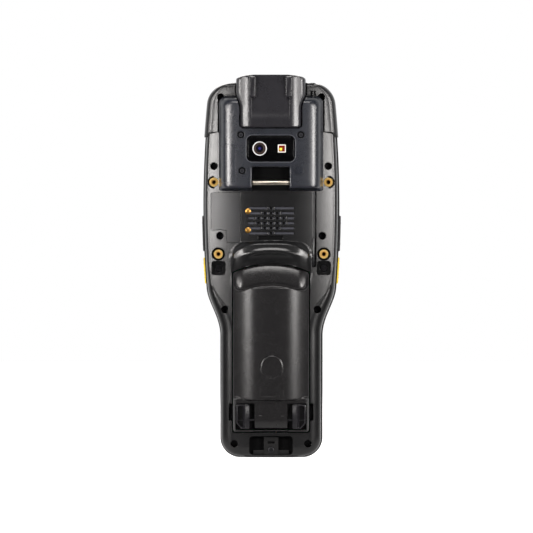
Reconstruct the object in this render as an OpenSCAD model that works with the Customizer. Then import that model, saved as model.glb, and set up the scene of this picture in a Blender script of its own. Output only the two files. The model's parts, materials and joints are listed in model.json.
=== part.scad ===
// Portable barcode data terminal: a wide head with display, camera and scanner,
// and a narrower grip with keypad and battery pack.
// Frame: +Z runs up the length, the display faces -Y and the battery faces +Y.
// The origin is the middle of the bottom end, on which the terminal stands.

/* [Body] */
// Length from the bottom end to the tip of the scanner hood
total_len = 218; // [215:1:222]
// Width of the head, across the front housing
head_w = 77.8; // [77:0.2:80]
// Width of the grip, across the front housing
grip_w = 58.4; // [58:0.2:60]
// Thickness of the front and rear housings together
body_t = 25; // [24.6:0.2:26]
// Depth of the front housing, from its face to the parting line
front_t = 12; // [11.8:0.1:12.4]
// Side wall of both housings
wall = 1.8; // [1.6:0.1:2]
// Wall behind the front face
face_t = 2.4; // [2.2:0.1:2.8]
// Radius of the bottom corners, seen from the front
corner_r = 11.3; // [10:0.1:12]
// Radius of the head's corners, seen from the front
head_corner_r = 11.2; // [10:0.1:12]
// Radius that the sides of the head are bowed to
side_r = 600; // [500:10:900]
// Radius that the back is crowned to
crown_r = 160; // [140:5:200]
// Rounding between the front face and the sides
edge_r = 3; // [2.5:0.1:3.4]
// Rounding between the back and the sides
back_edge_r = 4.5; // [4:0.1:5]
// Rounding of the back at its bottom end
tail_r = 6; // [5:0.1:6.4]
// How far the rear housing stays inside the front housing's outline
rear_inset = 0.8; // [0.6:0.1:1]
// Length over which the grip widens to the head
waist_len = 27; // [25:0.5:29]
// Clearance between parts that are fitted together
fit_gap = 0.15; // [0.1:0.05:0.2]

/* [Head] */
// How far the scanner hood stands above the bumper
nose_len = 4.3; // [3.5:0.1:5]
// Height of the bumper's side arms
bumper_len = 31; // [29:0.5:33]
// Thickness of the bumper
bumper_t = 2.2; // [2:0.1:2.4]
// How far the bumper stands proud of the housings
bumper_rise = 0.6; // [0.5:0.05:0.8]
// Height of the module cover above the rear housing
cover_h = 9; // [8.6:0.1:10]
// Length of the module cover
cover_len = 54; // [53:0.5:55]
// Width of the module cover at its foot
cover_w = 59.4; // [58.4:0.2:60]
// How far the module cover's sides lean in
cover_draft = 1.8; // [1.4:0.1:2.2]
// Wall of the module cover and the hood
cover_wall = 1.6; // [1.4:0.1:1.8]
// Height of the hood above the module cover
hood_h = 2.6; // [2.4:0.1:3]
// Width of the hood where it sits in the module cover
hood_w = 35; // [34.4:0.2:35.4]
// Width of the hood's nose
nose_w = 39.6; // [39:0.2:40.4]
// Length of the hood
hood_len = 30.1; // [29:0.1:31]
// Height of the two ribs on the hood
rib_h = 1.5; // [1.2:0.1:1.8]
// Width of a rib
rib_w = 3.8; // [3.4:0.1:4.2]
// Length of a rib
rib_len = 12; // [11:0.5:13]
// Width of the camera window
window_w = 26; // [25:0.2:27]
// Height of the camera window
window_h = 13.3; // [12.8:0.1:14]
// Distance of the lens and of the flash from the middle
lens_x = 6.3; // [6:0.1:6.8]
// Outer radius of the lens ring
lens_r = 4.1; // [3.8:0.1:4.4]
// Side of the flash lamp
flash_w = 4.8; // [4.4:0.1:5.2]
// Width of the slot for the hand strap
strap_w = 21.4; // [20:0.2:22]
// Height of the slot for the hand strap
strap_h = 13.6; // [13:0.2:14.4]
// Radius of the strap bar
bar_r = 1.45; // [1.3:0.05:1.6]

/* [Battery] */
// Width of the battery pack
pack_w = 44; // [43.6:0.1:44.4]
// Length of the back between the pack and the module cover
back_len = 41.6; // [41:0.2:43]
// Height of the pack's bottom edge
pack_z = 14.4; // [14:0.1:15]
// Radius of the pack's arched top edge
arch_r = 51.6; // [48:0.2:56]
// Height of the pack's back above the rear housing
pack_h = 4.6; // [4.2:0.1:5]
// Height of the arched ridge above the pack
ridge_h = 3.2; // [2.8:0.1:3.6]
// Depth of the cell case behind the rear housing's crown
case_depth = 14.4; // [14:0.1:14.8]
// Length of the pack's stepped lower end, which holds the latches
step_len = 18.6; // [18.2:0.1:19.4]
// Width of a latch
latch_w = 7.6; // [7:0.1:8]
// Height of a latch
latch_h = 14; // [13:0.1:14.4]
// Travel of a latch
latch_travel = 2.4; // [2:0.1:2.8]
// Radius of the lug that the pack tilts on
lug_r = 1.1; // [1:0.05:1.2]

/* [Display and keys] */
// Distance between the touch panel and the sides of the head
panel_side = 7.9; // [7.4:0.1:9]
// Distance between the touch panel and the top of the head
panel_top = 13.6; // [12.6:0.2:15]
// Distance between the touch panel and the top row of keys
panel_foot = 12.4; // [11:0.2:14]
// How far the display module stays inside the touch panel
lcd_in = 6; // [5:0.2:8]
// How far the keys stand above the face
key_rise = 0.9; // [0.7:0.1:1.1]
// Width of a keypad key
key_w = 14.2; // [13:0.1:14.6]
// Height of a keypad key
key_h = 8.8; // [8:0.1:9.4]
// Distance between two keys' middles across the keypad
key_pitch_x = 18; // [17:0.1:18.2]
// Distance between two keys' middles along the keypad
key_pitch_z = 13.2; // [12.6:0.1:13.4]
// Height of the lowest row of keys
key_z = 14.4; // [14:0.1:15.4]
// Travel of a keypad key
key_travel = 0.4; // [0.3:0.05:0.5]
// Length of a side scan key
scan_len = 15; // [14:0.5:16]
// Length of a side rocker
rocker_len = 20.4; // [20:0.1:21]
// Width of the side keys, across the thickness of the housing
side_key_w = 6.4; // [6:0.1:6.8]

/* [Stylus and fasteners] */
// Radius of the stylus
stylus_r = 1.4; // [1.3:0.05:1.5]
// Length of the stylus
stylus_len = 104; // [102:0.5:105]
// Radius of a case screw's head
head_r = 1.9; // [1.7:0.05:2]
// Radius of a case screw's shank
shank_r = 0.95; // [0.8:0.05:1]
// Outer radius of a threaded insert
insert_r = 2.6; // [2.4:0.05:2.8]
// Core radius of a threaded insert
core_r = 1.25; // [1.1:0.05:1.4]
// Length of a threaded insert
insert_len = 6; // [5:0.1:6.4]

/* [Hidden] */
$fn = 48;
eps = 0.01;
run_gap = 2 * fit_gap;

// Planes across the thickness, from the keys' tops to the hood's ribs
depth = key_rise + body_t + cover_h + hood_h + rib_h;
y_key = -depth / 2;
y_face = y_key + key_rise;
y_part = y_face + front_t;
y_back = y_face + body_t;
y_cover = y_back + cover_h;
y_hood = y_cover + hood_h;
y_rib = y_hood + rib_h;

// Heights along the body
head_top = total_len - nose_len;
body_top = head_top - bumper_rise;
shoulder_z = body_top - head_corner_r;
widest_z = head_top - 70;
bumper_z = head_top - bumper_len;
bumper_in = bumper_t - bumper_rise + fit_gap;
ramp_z0 = bumper_z - 5;
ramp_z1 = bumper_z - 2;
cover_top = total_len - 12;
cover_z = cover_top - cover_len;
pack_top = cover_z - back_len;
pack_len = pack_top - pack_z;
waist_z1 = pack_top - 13.9;
waist_z0 = waist_z1 - waist_len;
hood_z = total_len - hood_len;
nose_z = hood_z + 15;
nose_y = y_back - 5;
hood_corner = 5.5;

// Camera window, screws and strap slot of the module cover
window_z = hood_z - 11.9;
window_y = y_cover - 0.5;
window_t = 1;
bar_z = cover_z + 4.6;
bar_y = y_cover - 4.2;
bar_seat = 2;
cover_screws = [[17.1, hood_z - 4.1], [16.4, cover_z + 11.4]];
cover_screw_r = 1.7;
cover_shank_r = 0.8;

// Case screws, [distance from the middle, height], the same on both sides
boss_r = 2.4;
tube_r = 3.3;
pocket_w = 8.1;
pocket_z = pack_top - 2.4;
pocket_x = head_w / 2 - 8.9;
case_screws = [
    [head_w / 2 - 10.25, head_top - 8.2],
    [head_w / 2 - 6.3, cover_z + 14.2],
    [head_w / 2 - 9.7, pocket_z + 18.4],
    [pocket_x, pocket_z],
    [body_half(pocket_z - 23.6) - 7.9, pocket_z - 23.6],
    [grip_w / 2 - 8.2, 7.9],
];
counterbore_r = head_r + 0.25;
seat_y = y_part + 3.2;
screw_head_h = 1.6;
shank_len = 8;

// Threaded inserts for a trigger handle
insert_x = [head_w / 2 - 6.25, head_w / 2 - 8.8];
insert_z = [cover_z + 5, pocket_z + 8];
insert_y = y_back - sag(crown_r, insert_x[1]) + 0.3;
groove_r = insert_r + 0.7;

// Battery bay, arched at the top
bay_floor_y = y_back - case_depth;
bay_skin = 1.2;
arch_z = pack_top - arch_r;
pack_y = y_back + pack_h;
step_z = pack_z + step_len;
step_y = y_back + 2;
plate_t = 2;
skirt_y = y_back - 3.4;
rim_drop = 0.3;
shoulder_out = 19.6;
shoulder_in = 9;
scoop_r = 84;
scoop_z = pack_top - 12.7 - scoop_r;
crest_r = arch_r - 7;
ridge_r = arch_r + 10.1;
cell_w = pack_w - 4;
cell_z0 = step_z + 1;
cell_z1 = arch_z + sqrt(pow(arch_r - 1.2, 2) - pow(cell_w / 2, 2)) - 0.6;
cell_y = y_back - 3.6;
core_w = 21;
lug_z = pack_top + 1.1;
lug_y = y_back - 2.6;
lug_w = 16;

// Latches of the pack
latch_x = pack_w / 2 - 2.2 - latch_w;
latch_z = pack_z + 1.9;
window_gap = 0.4;
latch_foot_y = y_back - 9.2;
latch_flange = 1.1;
tongue_h = 7.6;
tongue_z = latch_z + 5.6;
tongue_out = pack_w / 2 + 1.2;
notch_w = 1.8;
notch_z = latch_z + 4.6;
notch_h = 10;
guide_r = 0.4;
guide_z = latch_z + 5;
guide_y = step_y - 1.1;
block_x = pack_w / 2 - 12.7;

// Display, boards and keys
panel_t = 1.2;
key_lip = 0.6;
scan_w = 2 * (key_pitch_x - key_w / 2 - 2 * key_lip - fit_gap);
scan_h = 10.6;
key_top = key_z + 5 * key_pitch_z + scan_h / 2;
panel_w = head_w - 2 * panel_side;
panel_z = key_top + panel_foot;
panel_h = head_top - panel_top - panel_z;
lcd_w = panel_w - 2 * lcd_in;
lcd_h = panel_h - 2 * lcd_in - 2;
lcd_t = 3.2;
lcd_z = panel_z + panel_h / 2 - lcd_h / 2;
lcd_y = y_face + face_t + fit_gap;
board_t = 1.2;
board_y = lcd_y + lcd_t + fit_gap;
board_z1 = shoulder_z + 3;
board_w = head_w - 13.4;
board_cut = 7;
board_edge = board_w / 2 - 5;
can_t = 2;
key_back = y_face + face_t + fit_gap;
key_flange = 0.8;
dome_t = 0.4;
dome_r = 2.2;
pad_y = key_back + key_flange + key_travel + dome_t + fit_gap;
pad_t = 1;
side_rise = 0.8;
side_lip = 0.6;
side_y = y_face + edge_r + side_key_w / 2 + side_lip + 0.2;
side_travel = 0.5;
side_flange = 1.2;
rock_gap = 0.45;
scan_z = pocket_z - 1.4 - scan_len / 2;
board_z0 = min(scan_z, panel_z) - 2;
rocker_z = pocket_z + 9.6;
rocker_x = body_half(rocker_z + rocker_len / 2) - wall - rock_gap - side_flange / 2;
switch_w = 3.2;
switch_z = [scan_z + 2.2, rocker_z + 4, rocker_z + rocker_len - 4];

// Stylus and its groove, with the skin that is left between it and an insert's groove
stylus_skin = 1.5;
stylus_x = -(insert_x[1] - groove_r - stylus_r - stylus_skin);
stylus_top = head_top - 1;
stylus_z = stylus_top - stylus_len;
stylus_y = y_back - sag(crown_r, abs(stylus_x)) - stylus_r - 0.2;

// Speaker grille
grille_z = (cover_z + pocket_z) / 2 + 5;
grille_w = 26.4;
grille_pitch_x = 3.6;
grille_pitch_z = 2.86;
grille_holes = [1, 3, 5, 5, 3, 1];
hole_w = 1.4;
contact_r = 1.7;
contact_x = 13.1;
contact_gap = 10.8;
contact_z = grille_z;

// Label recess beside the grille
label_x0 = 17.4;
label_x1 = head_w / 2 - 4.5;
label_z0 = pocket_z + 21.4;
label_z1 = cover_z - 0.8;
label_deep = 0.35;
label_t = 0.15;

// Strap anchor and dock socket at the bottom end
recess_w = 24.8;
recess_z0 = 1.5;
recess_z1 = pack_z - 2.2;
recess_y = y_back - 6.4;
anchor_w = 8.2;
anchor_y = y_back - 2.4;
dock_w = 26;
dock_t = 5.6;
dock_y = y_face + 3.6;
dock_deep = 6;

// Seal between the housings
seal_w = 0.7;
seal_in = 1;

// Keypad, [name, column, row, width, height]
KEYS = [
    ["key_dot", -1, 0, key_w, key_h],
    ["key_0", 0, 0, key_w, key_h],
    ["key_back", 1, 0, key_w, key_h],
    ["key_7", -1, 1, key_w, key_h],
    ["key_8", 0, 1, key_w, key_h],
    ["key_9", 1, 1, key_w, key_h],
    ["key_4", -1, 2, key_w, key_h],
    ["key_5", 0, 2, key_w, key_h],
    ["key_6", 1, 2, key_w, key_h],
    ["key_1", -1, 3, key_w, key_h],
    ["key_2", 0, 3, key_w, key_h],
    ["key_3", 1, 3, key_w, key_h],
    ["key_function", -1, 4, key_w, key_h],
    ["key_escape", 0, 4, key_w, key_h],
    ["key_enter", 1, 4, key_w, key_h],
    ["key_power", -1, 5, key_w, key_h],
    ["key_scan", 0, 5, scan_w, scan_h],
    ["key_clear", 1, 5, key_w, key_h],
];

// Eased step from 0 to 1
function ease(t) = let (c = min(1, max(0, t))) c * c * (3 - 2 * c);

// Drop of an arc of radius r at distance x from its crest
function sag(r, x) = r - sqrt(r * r - x * x);

// Drop of a rounded end of radius r at distance d from its tip
function end_drop(d, r) = d >= r ? 0 : r - sqrt(r * r - pow(r - max(0, d), 2));

// Half width of the body at height z, inset by d
function head_half(z) = head_w / 2 - sag(side_r, z - widest_z);
function mid_half(z) =
    let (t = ease((z - waist_z0) / (waist_z1 - waist_z0)))
    grip_w / 2 * (1 - t) + head_half(z) * t;
function body_half(z, d = 0) =
    z < corner_r
    ? grip_w / 2 - corner_r + sqrt(max(0, pow(corner_r - d, 2) - pow(corner_r - z, 2)))
    : z > shoulder_z
    ? head_half(z) - head_corner_r + sqrt(max(0, pow(head_corner_r - d, 2) - pow(z - shoulder_z, 2)))
    : mid_half(z) - d;

// How far the housings step in under the bumper at height z
function step_in(z) = bumper_in * ease((z - ramp_z0) / (ramp_z1 - ramp_z0));
function inner_half(z, d) = body_half(z, d + step_in(z));

// Heights at which the housings' sections are drawn, inset by d0 at the bottom and d1 at the top
function stations(d0, d1) = concat(
    [for (a = [0:18:72]) corner_r - (corner_r - d0) * cos(a)],
    [corner_r, waist_z0],
    [for (k = [1:8]) waist_z0 + (waist_z1 - waist_z0) * k / 8],
    [for (k = [1:4]) waist_z1 + (ramp_z0 - waist_z1) * k / 4],
    [ramp_z0 + 1, ramp_z1 - 1, ramp_z1, (ramp_z1 + shoulder_z) / 2],
    [for (a = [0:18:90]) shoulder_z + (head_corner_r - d1) * sin(a)]
);

// One section of the front housing: open at the back, rounded towards the face
function front_ring(z, half, face, back, r) = concat(
    [[-half, back, z]],
    [for (a = [180:22.5:270]) [-half + r + r * cos(a), face + r + r * sin(a), z]],
    [for (a = [270:22.5:360]) [half - r + r * cos(a), face + r + r * sin(a), z]],
    [[half, back, z]]
);

// One section of the rear housing: open at the front, crowned and rounded towards the back
function rear_ring(z, half, base, back, r) =
    let (c = half - r, top = back - sag(crown_r, c))
    concat(
        [[half, base, z]],
        [for (a = [0:22.5:90]) [c + r * cos(a), top - r + r * sin(a), z]],
        [for (k = [2:-1:-2]) [c * k / 3, back - sag(crown_r, c * k / 3), z]],
        [for (a = [90:22.5:180]) [-c + r * cos(a), top - r + r * sin(a), z]],
        [[-half, base, z]]
    );

// Points of a rectangle w by h with rounded corners, about its middle
function round_rect(w, h, r) = [
    for (c = [[1, 1, 0], [-1, 1, 90], [-1, -1, 180], [1, -1, 270]], a = [0:30:90])
        [c[0] * (w / 2 - r) + r * cos(c[2] + a), c[1] * (h / 2 - r) + r * sin(c[2] + a)]
];

// Closed skin through rings of points, each ring anticlockwise seen from above
module skin(rings) {
    n = len(rings[0]);
    last = len(rings) - 1;
    sides = [for (k = [0:last - 1], i = [0:n - 1]) each let (j = (i + 1) % n) [
        [k * n + i, (k + 1) * n + i, (k + 1) * n + j],
        [k * n + i, (k + 1) * n + j, k * n + j],
    ]];
    polyhedron(
        points = [for (ring = rings) each ring],
        faces = concat([[for (i = [0:n - 1]) i]], sides, [[for (i = [n - 1:-1:0]) last * n + i]])
    );
}

// Extrudes an outline drawn as [x, z] from depth y0 to depth y1
module through_y(y0, y1) {
    translate([0, y1, 0]) rotate([90, 0, 0]) linear_extrude(y1 - y0) children();
}

// Extrudes an outline drawn as [y, z] from x0 to x1
module through_x(x0, x1) {
    translate([x0, 0, 0]) rotate([90, 0, 90]) linear_extrude(x1 - x0) children();
}

// Box between two corners
module block(low, high) {
    translate(low) cube(high - low);
}

// Round rod along Y
module rod_y(x, z, r, y0, y1) {
    translate([x, y0, z]) rotate([-90, 0, 0]) cylinder(r = r, h = y1 - y0);
}

// Round rod along X
module rod_x(y, z, r, x0, x1) {
    translate([x0, y, z]) rotate([0, 90, 0]) cylinder(r = r, h = x1 - x0);
}

// Rounded slab about [x, z], from depth y0 to depth y1
module pad(x, z, w, h, r, y0, y1) {
    translate([x, 0, z]) through_y(y0, y1) polygon(round_rect(w, h, r));
}

// Draws its children on both sides of the body
module both_sides() {
    children();
    mirror([1, 0, 0]) children();
}

// The solid under the crown of the back, lowered by d
module crown(d) {
    translate([0, y_back - crown_r, 0]) cylinder(r = crown_r - d, h = total_len, $fn = 180);
}

// Strip along the left side, between two offsets from the outline
module side_strip(z0, z1, d0, d1, y0, y1) {
    n = 6;
    zs = [for (k = [0:n]) z0 + (z1 - z0) * k / n];
    through_y(y0, y1)
        polygon(concat(
            [for (z = zs) [body_half(z) + d1, z]],
            [for (k = [n:-1:0]) [body_half(zs[k]) + d0, zs[k]]]
        ));
}

// Turns a profile drawn as [radius, y] about an axis along Y through height z
module arched(z, angle) {
    translate([0, 0, z]) rotate([-90, 0, 0]) rotate([0, 0, 270 - angle / 2])
        rotate_extrude(angle = angle, $fn = 180) children();
}

// The battery bay's outline grown by d
module bay_shape(d) {
    half = pack_w / 2 + d;
    translate([-half, pack_z - d]) square([2 * half, arch_z - pack_z + d]);
    intersection() {
        translate([-half, arch_z - eps]) square([2 * half, arch_r + d + 1]);
        translate([0, arch_z]) circle(arch_r + d, $fn = 180);
    }
}

// Everything that the bumper and its clearance g take from the housings
module bumper_zone(g) {
    inset = bumper_t - bumper_rise;
    top = stations(inset + g, inset + g);
    rings = [for (z = top) if (z > ramp_z0) z];
    zs = concat([bumper_z - g - 1], [for (z = rings) if (z > bumper_z) z]);
    difference() {
        through_x(-head_w, head_w) bumper_side(g);
        skin([for (z = zs) rear_ring(z, body_half(z, inset + g), y_face, y_back - inset - g, back_edge_r)]);
        cover_gap(g);
    }
}

// The bumper's extent from the side, grown by g: it reaches lower on the flanks than on the back
module bumper_side(g) {
    polygon([[y_face + 4 - g, bumper_z - g], [y_back - 6, bumper_z - g], [y_back - 3, bumper_z + 3 - g],
        [y_back + 3, bumper_z + 3.6 - g], [y_back + 3, total_len], [y_face + 4 - g, total_len]]);
}

// The space that the bumper leaves free for the module cover and the hood
module cover_gap(g) {
    half = cover_w / 2 + fit_gap - g;
    hood_half = nose_w / 2 + fit_gap - g;
    block([-half, y_back - 6, bumper_z - 3], [half, y_hood, cover_top + 0.3 - g]);
    block([-hood_half, nose_y - fit_gap + g, bumper_z], [hood_half, y_rib, total_len + 1]);
}

// Case screws' places on both sides
module at_case_screws() {
    for (side = [-1, 1], s = case_screws) translate([side * s[0], 0, s[1]]) children();
}

module front_housing() {
    zs = stations(0, 0);
    cavity = stations(wall, wall + bumper_in);
    color("#1b1c1e") difference() {
        skin([for (z = zs) front_ring(z, body_half(z),
            y_face + end_drop(min(z, body_top - z), edge_r), y_part, edge_r)]);
        difference() {
            skin([for (z = cavity) front_ring(z, inner_half(z, wall), y_face + face_t, y_part + 1,
                edge_r - wall)]);
            difference() {
                at_case_screws() rod_y(0, 0, boss_r, y_face, y_part - 0.2);
                for (key = KEYS) key_place(key)
                    key_shape(key, key_lip + fit_gap, y_face - 1, key_back + key_flange + key_travel + fit_gap);
            }
        }
        at_case_screws() rod_y(0, 0, shank_r + 0.05, seat_y - shank_len - 0.6, y_part + 1);
        bumper_zone(fit_gap);
        panel_z_mid = panel_z + panel_h / 2;
        pad(0, panel_z_mid, panel_w + 2 * fit_gap, panel_h + 2 * fit_gap, 3 + fit_gap, y_face - 1, y_face + panel_t + fit_gap);
        pad(0, panel_z_mid, lcd_w - 3, lcd_h - 3, 1, y_face, y_face + face_t + 1);
        earpiece_slot(y_face, y_face + face_t + 1);
        for (key = KEYS) key_place(key) key_shape(key, fit_gap, y_face - 1, y_face + face_t + 1);
        both_sides() {
            side_strip(scan_z - fit_gap, scan_z + scan_len + fit_gap, -wall - 1, 2,
                side_y - side_key_w / 2 - fit_gap, side_y + side_key_w / 2 + fit_gap);
            side_strip(rocker_z - fit_gap, rocker_z + rocker_len + fit_gap, -wall - 1, 2,
                side_y - side_key_w / 2 - fit_gap, side_y + side_key_w / 2 + fit_gap);
        }
        block([-dock_w / 2, dock_y, -1], [dock_w / 2, dock_y + dock_t, wall + 1]);
        seal_ring(seal_in - 0.05, seal_w + 0.1, y_part - 0.7, y_part + 1);
    }
}

// Closed band that follows the walls, from inset d over width w
module seal_ring(d, w, y0, y1) {
    outer = stations(d, d + bumper_in);
    inner = stations(d + w, d + w + bumper_in);
    through_y(y0, y1) difference() {
        outline([for (z = outer) [inner_half(z, d), z]]);
        outline([for (z = inner) [inner_half(z, d + w), z]]);
    }
}

// Polygon from one side's points and their mirror images
module outline(side) {
    polygon(concat(side, [for (k = [len(side) - 1:-1:0]) [-side[k][0], side[k][1]]]));
}

module rear_housing() {
    zs = stations(rear_inset, rear_inset);
    cavity = stations(rear_inset + wall, rear_inset + wall + bumper_in);
    base = y_part + 0.1;
    color("#3c3d40") difference() {
        union() {
            skin([for (z = concat([0], zs)) rear_ring(z, body_half(max(z, rear_inset), rear_inset), base,
                y_back - end_drop(min(z, body_top - z), tail_r), back_edge_r)]);
            ridge();
        }
        difference() {
            skin([for (z = cavity) rear_ring(z, inner_half(z, rear_inset + wall), base - 1,
                y_back - wall - step_in(z) - end_drop(z - wall, tail_r - wall), back_edge_r - wall)]);
            inner_walls();
        }
        bay_cuts();
        screw_cuts();
        insert_cuts();
        both_sides() pad(pocket_x, pocket_z, pocket_w, pocket_w, 1, seat_y + 2.6, y_back + 1);
        stylus_groove();
        grille_cuts();
        label_cut(label_deep);
        recess_cut();
        bumper_zone(fit_gap);
        nose_cut();
    }
}

// What stands inside the rear housing: the bay's walls, tubes, and seats for inserts and stylus
module inner_walls() {
    through_y(bay_floor_y - bay_skin - run_gap, y_back) bay_shape(run_gap + bay_skin);
    at_case_screws() rod_y(0, 0, tube_r, y_part + 0.3, y_back);
    at_inserts() rod_y(0, 0, groove_r + 1, insert_y - insert_len - 1.5, y_back);
    both_sides() pad(pocket_x, pocket_z, pocket_w + 2.4, pocket_w + 2.4, 1.6, seat_y - 1.6, y_back);
    block([stylus_x - stylus_r - 1.2, stylus_y - stylus_r - 1.4, stylus_z - 1.4],
        [stylus_x + stylus_r + 1.2, y_back, head_top]);
    block([-recess_w / 2 - 1.2, recess_y - 1.2, 0], [recess_w / 2 + 1.2, y_back, recess_z1 + 1.2]);
}

// Opening of the bay, the latches' notches and the lug's pocket
module bay_cuts() {
    through_y(bay_floor_y - run_gap, y_back + 8) bay_shape(run_gap);
    both_sides() block([pack_w / 2 - 1, latch_foot_y - run_gap, notch_z],
        [pack_w / 2 + run_gap + notch_w, y_back + 1, notch_z + notch_h]);
    rod_x(lug_y, lug_z, lug_r + run_gap, -lug_w / 2 - run_gap, lug_w / 2 + run_gap);
    block([-lug_w / 2 - run_gap, lug_y - lug_r - run_gap, lug_z - 4],
        [lug_w / 2 + run_gap, lug_y + lug_r + run_gap, lug_z]);
}

module screw_cuts() {
    for (side = [-1, 1], s = cover_screws) rod_y(side * s[0], s[1], cover_shank_r + 0.05, y_back - 4, y_back + 1);
    at_case_screws() {
        rod_y(0, 0, counterbore_r, seat_y, y_back + 1);
        rod_y(0, 0, shank_r + 0.25, y_part - 1, seat_y + 1);
    }
}

// Threaded inserts' places on both sides
module at_inserts() {
    for (side = [-1, 1], k = [0, 1]) translate([side * insert_x[k], 0, insert_z[k]]) children();
}

module insert_cuts() {
    at_inserts() rod_y(0, 0, insert_r + 0.02, insert_y - insert_len - 0.5, y_back + 1);
    for (side = [-1, 1]) {
        translate([side * insert_x[1], 0, insert_z[1]]) difference() {
            rod_y(0, 0, groove_r, insert_y - 1.6, y_back);
            rod_y(0, 0, insert_r - 0.3, insert_y - 2, y_back + 1);
        }
        translate([side * insert_x[0], 0, insert_z[0]]) difference() {
            rod_y(0, 0, groove_r, insert_y - 2.6, y_back);
            rod_y(0, 0, insert_r - 0.3, insert_y - 3, y_back + 1);
            block([side > 0 ? -6 : -0.6, y_part, -6], [side > 0 ? 0.6 : 6, y_back + 1, 6]);
        }
    }
}

module stylus_groove() {
    r = stylus_r + fit_gap;
    translate([stylus_x, stylus_y, stylus_z - fit_gap]) cylinder(r = r, h = stylus_len + 10);
    block([stylus_x - r, stylus_y, stylus_z - fit_gap], [stylus_x + r, y_back + 1, total_len]);
}

// Arched ridge around the top of the battery
module ridge() {
    foot = 5;
    half_span = 8;
    profile = [for (k = [0:10]) let (t = k / 10)
        [ridge_r - half_span + 2 * half_span * t, y_back - 0.6 + (ridge_h + 0.6) * (1 - cos(360 * t)) / 2]];
    fade_r = 60;
    intersection() {
        arched(arch_z, 64) polygon(concat(
            [[ridge_r + half_span, y_back - foot], [ridge_r - half_span, y_back - foot]], profile));
        translate([0, y_back + ridge_h - fade_r, arch_z]) cylinder(r = fade_r, h = total_len, $fn = 180);
    }
}

// Horizontal grooves with square holes for the speaker's sound, and the handle's contacts
module grille_cuts() {
    rows = len(grille_holes);
    for (row = [0:rows - 1]) {
        z = grille_z + (row - (rows - 1) / 2) * grille_pitch_z;
        difference() {
            block([-grille_w / 2, y_back - 3, z - 0.75], [grille_w / 2, y_back + 1, z + 0.75]);
            crown(0.5);
        }
        for (k = [1:grille_holes[row]]) {
            x = (k - (grille_holes[row] + 1) / 2) * grille_pitch_x;
            block([x - hole_w / 2, y_back - wall - 1, z - 0.65], [x + hole_w / 2, y_back + 1, z + 0.65]);
        }
    }
    at_contacts() rod_y(0, 0, contact_r + 0.02, y_back - 6, y_back + 1);
}

module at_contacts() {
    for (k = [-0.5, 0.5]) translate([contact_x, 0, contact_z + k * contact_gap]) children();
}

// Recess for the rating label, cut to depth d under the crown
module label_cut(d) {
    difference() {
        through_y(y_back - 6, y_back + 1) label_shape(0);
        crown(d);
    }
}

// The label's outline shrunk by g, with its corner left free for a screw
module label_shape(g) {
    difference() {
        polygon([
            [label_x0 + g, label_z0 - 7.1 + g], [label_x1 - 8.8 - g, label_z0 - 7.1 + g],
            [label_x1 - 8.8 - g, label_z0 + g], [label_x1 - g, label_z0 + g],
            [label_x1 - g, label_z1 - g], [label_x0 + g, label_z1 - g],
        ]);
        translate([case_screws[2][0], case_screws[2][1]]) circle(counterbore_r + 1.4 + g);
    }
}

// Recess at the bottom of the back, with the strap anchor in it
module recess_cut() {
    mid = (recess_z0 + recess_z1) / 2;
    pad(0, mid, recess_w, recess_z1 - recess_z0, 2, recess_y, y_back + 1);
}

// Room for the hood's nose at the top of the rear housing
module nose_cut() {
    half = nose_w / 2 + fit_gap;
    block([-half, nose_y - fit_gap, nose_z - fit_gap], [half, y_back + 1, total_len]);
}

module top_bumper() {
    inset = bumper_t - bumper_rise;
    zs = concat([bumper_z - 1], [for (z = stations(0, -bumper_rise)) if (z > bumper_z + 1) z]);
    ins = concat([bumper_z - 2], [for (z = stations(0, inset)) if (z > bumper_z + 1) z]);
    color("#47484c") difference() {
        intersection() {
            skin([for (z = zs) rear_ring(z, body_half(z, -bumper_rise), y_face + 3,
                y_back + bumper_rise - end_drop(head_top - z, 2.5), back_edge_r)]);
            through_x(-head_w, head_w) bumper_side(0);
        }
        skin([for (z = ins) rear_ring(z, body_half(z, inset), y_face + 2, y_back - inset, back_edge_r)]);
        cover_gap(0);
        for (side = [-1, 1])
            rod_y(side * case_screws[0][0], case_screws[0][1], counterbore_r, y_face, y_back + 2);
        translate([stylus_x, stylus_y, bumper_z - 1]) cylinder(r = stylus_r + fit_gap, h = 60);
        block([stylus_x - stylus_r - fit_gap, stylus_y, cover_top], [stylus_x + stylus_r + fit_gap, y_back + 2, stylus_top - 3.6]);
    }
}

// One slice of the module cover, d inside its outline, at height h above the back
module cover_slice(d, h, lift) {
    w = cover_w - 2 * d;
    l = cover_len - 2 * d;
    translate([0, 0, cover_z + cover_len / 2]) through_y(y_back + h, y_back + h + lift)
        polygon(round_rect(w, l, 4));
}

module module_cover() {
    top_d = cover_draft;
    color("#45484d") difference() {
        hull() {
            cover_slice(0, -2.6, 0.1);
            cover_slice(top_d * 0.8, cover_h - 2, 0.1);
            cover_slice(top_d + 0.6, cover_h - 0.6, 0.1);
            cover_slice(top_d + 2, cover_h - 0.1, 0.1);
        }
        crown(-0.05);
        hull() {
            cover_slice(cover_wall, -4, 0.1);
            cover_slice(top_d + cover_wall, cover_h - cover_wall - 0.1, 0.1);
        }
        hood_gap();
        pad(0, window_z, window_w + 2 * fit_gap, window_h + 2 * fit_gap, 2.5, window_y - window_t, y_cover + 1);
        block([-strap_w / 2, y_back - 1, cover_z - 1], [strap_w / 2, y_cover + 1, cover_z + strap_h]);
        rod_x(bar_y, bar_z, bar_r + 0.05, -strap_w / 2 - bar_seat, strap_w / 2 + bar_seat);
        for (side = [-1, 1], s = cover_screws) {
            rod_y(side * s[0], s[1], cover_screw_r + 0.25, y_cover - 1.2, y_cover + 1);
            rod_y(side * s[0], s[1], cover_shank_r + 0.1, y_back - 3, y_cover);
        }
    }
    color("#45484d") strap_cheeks();
    color("#45484d") cover_bosses();
}

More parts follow.
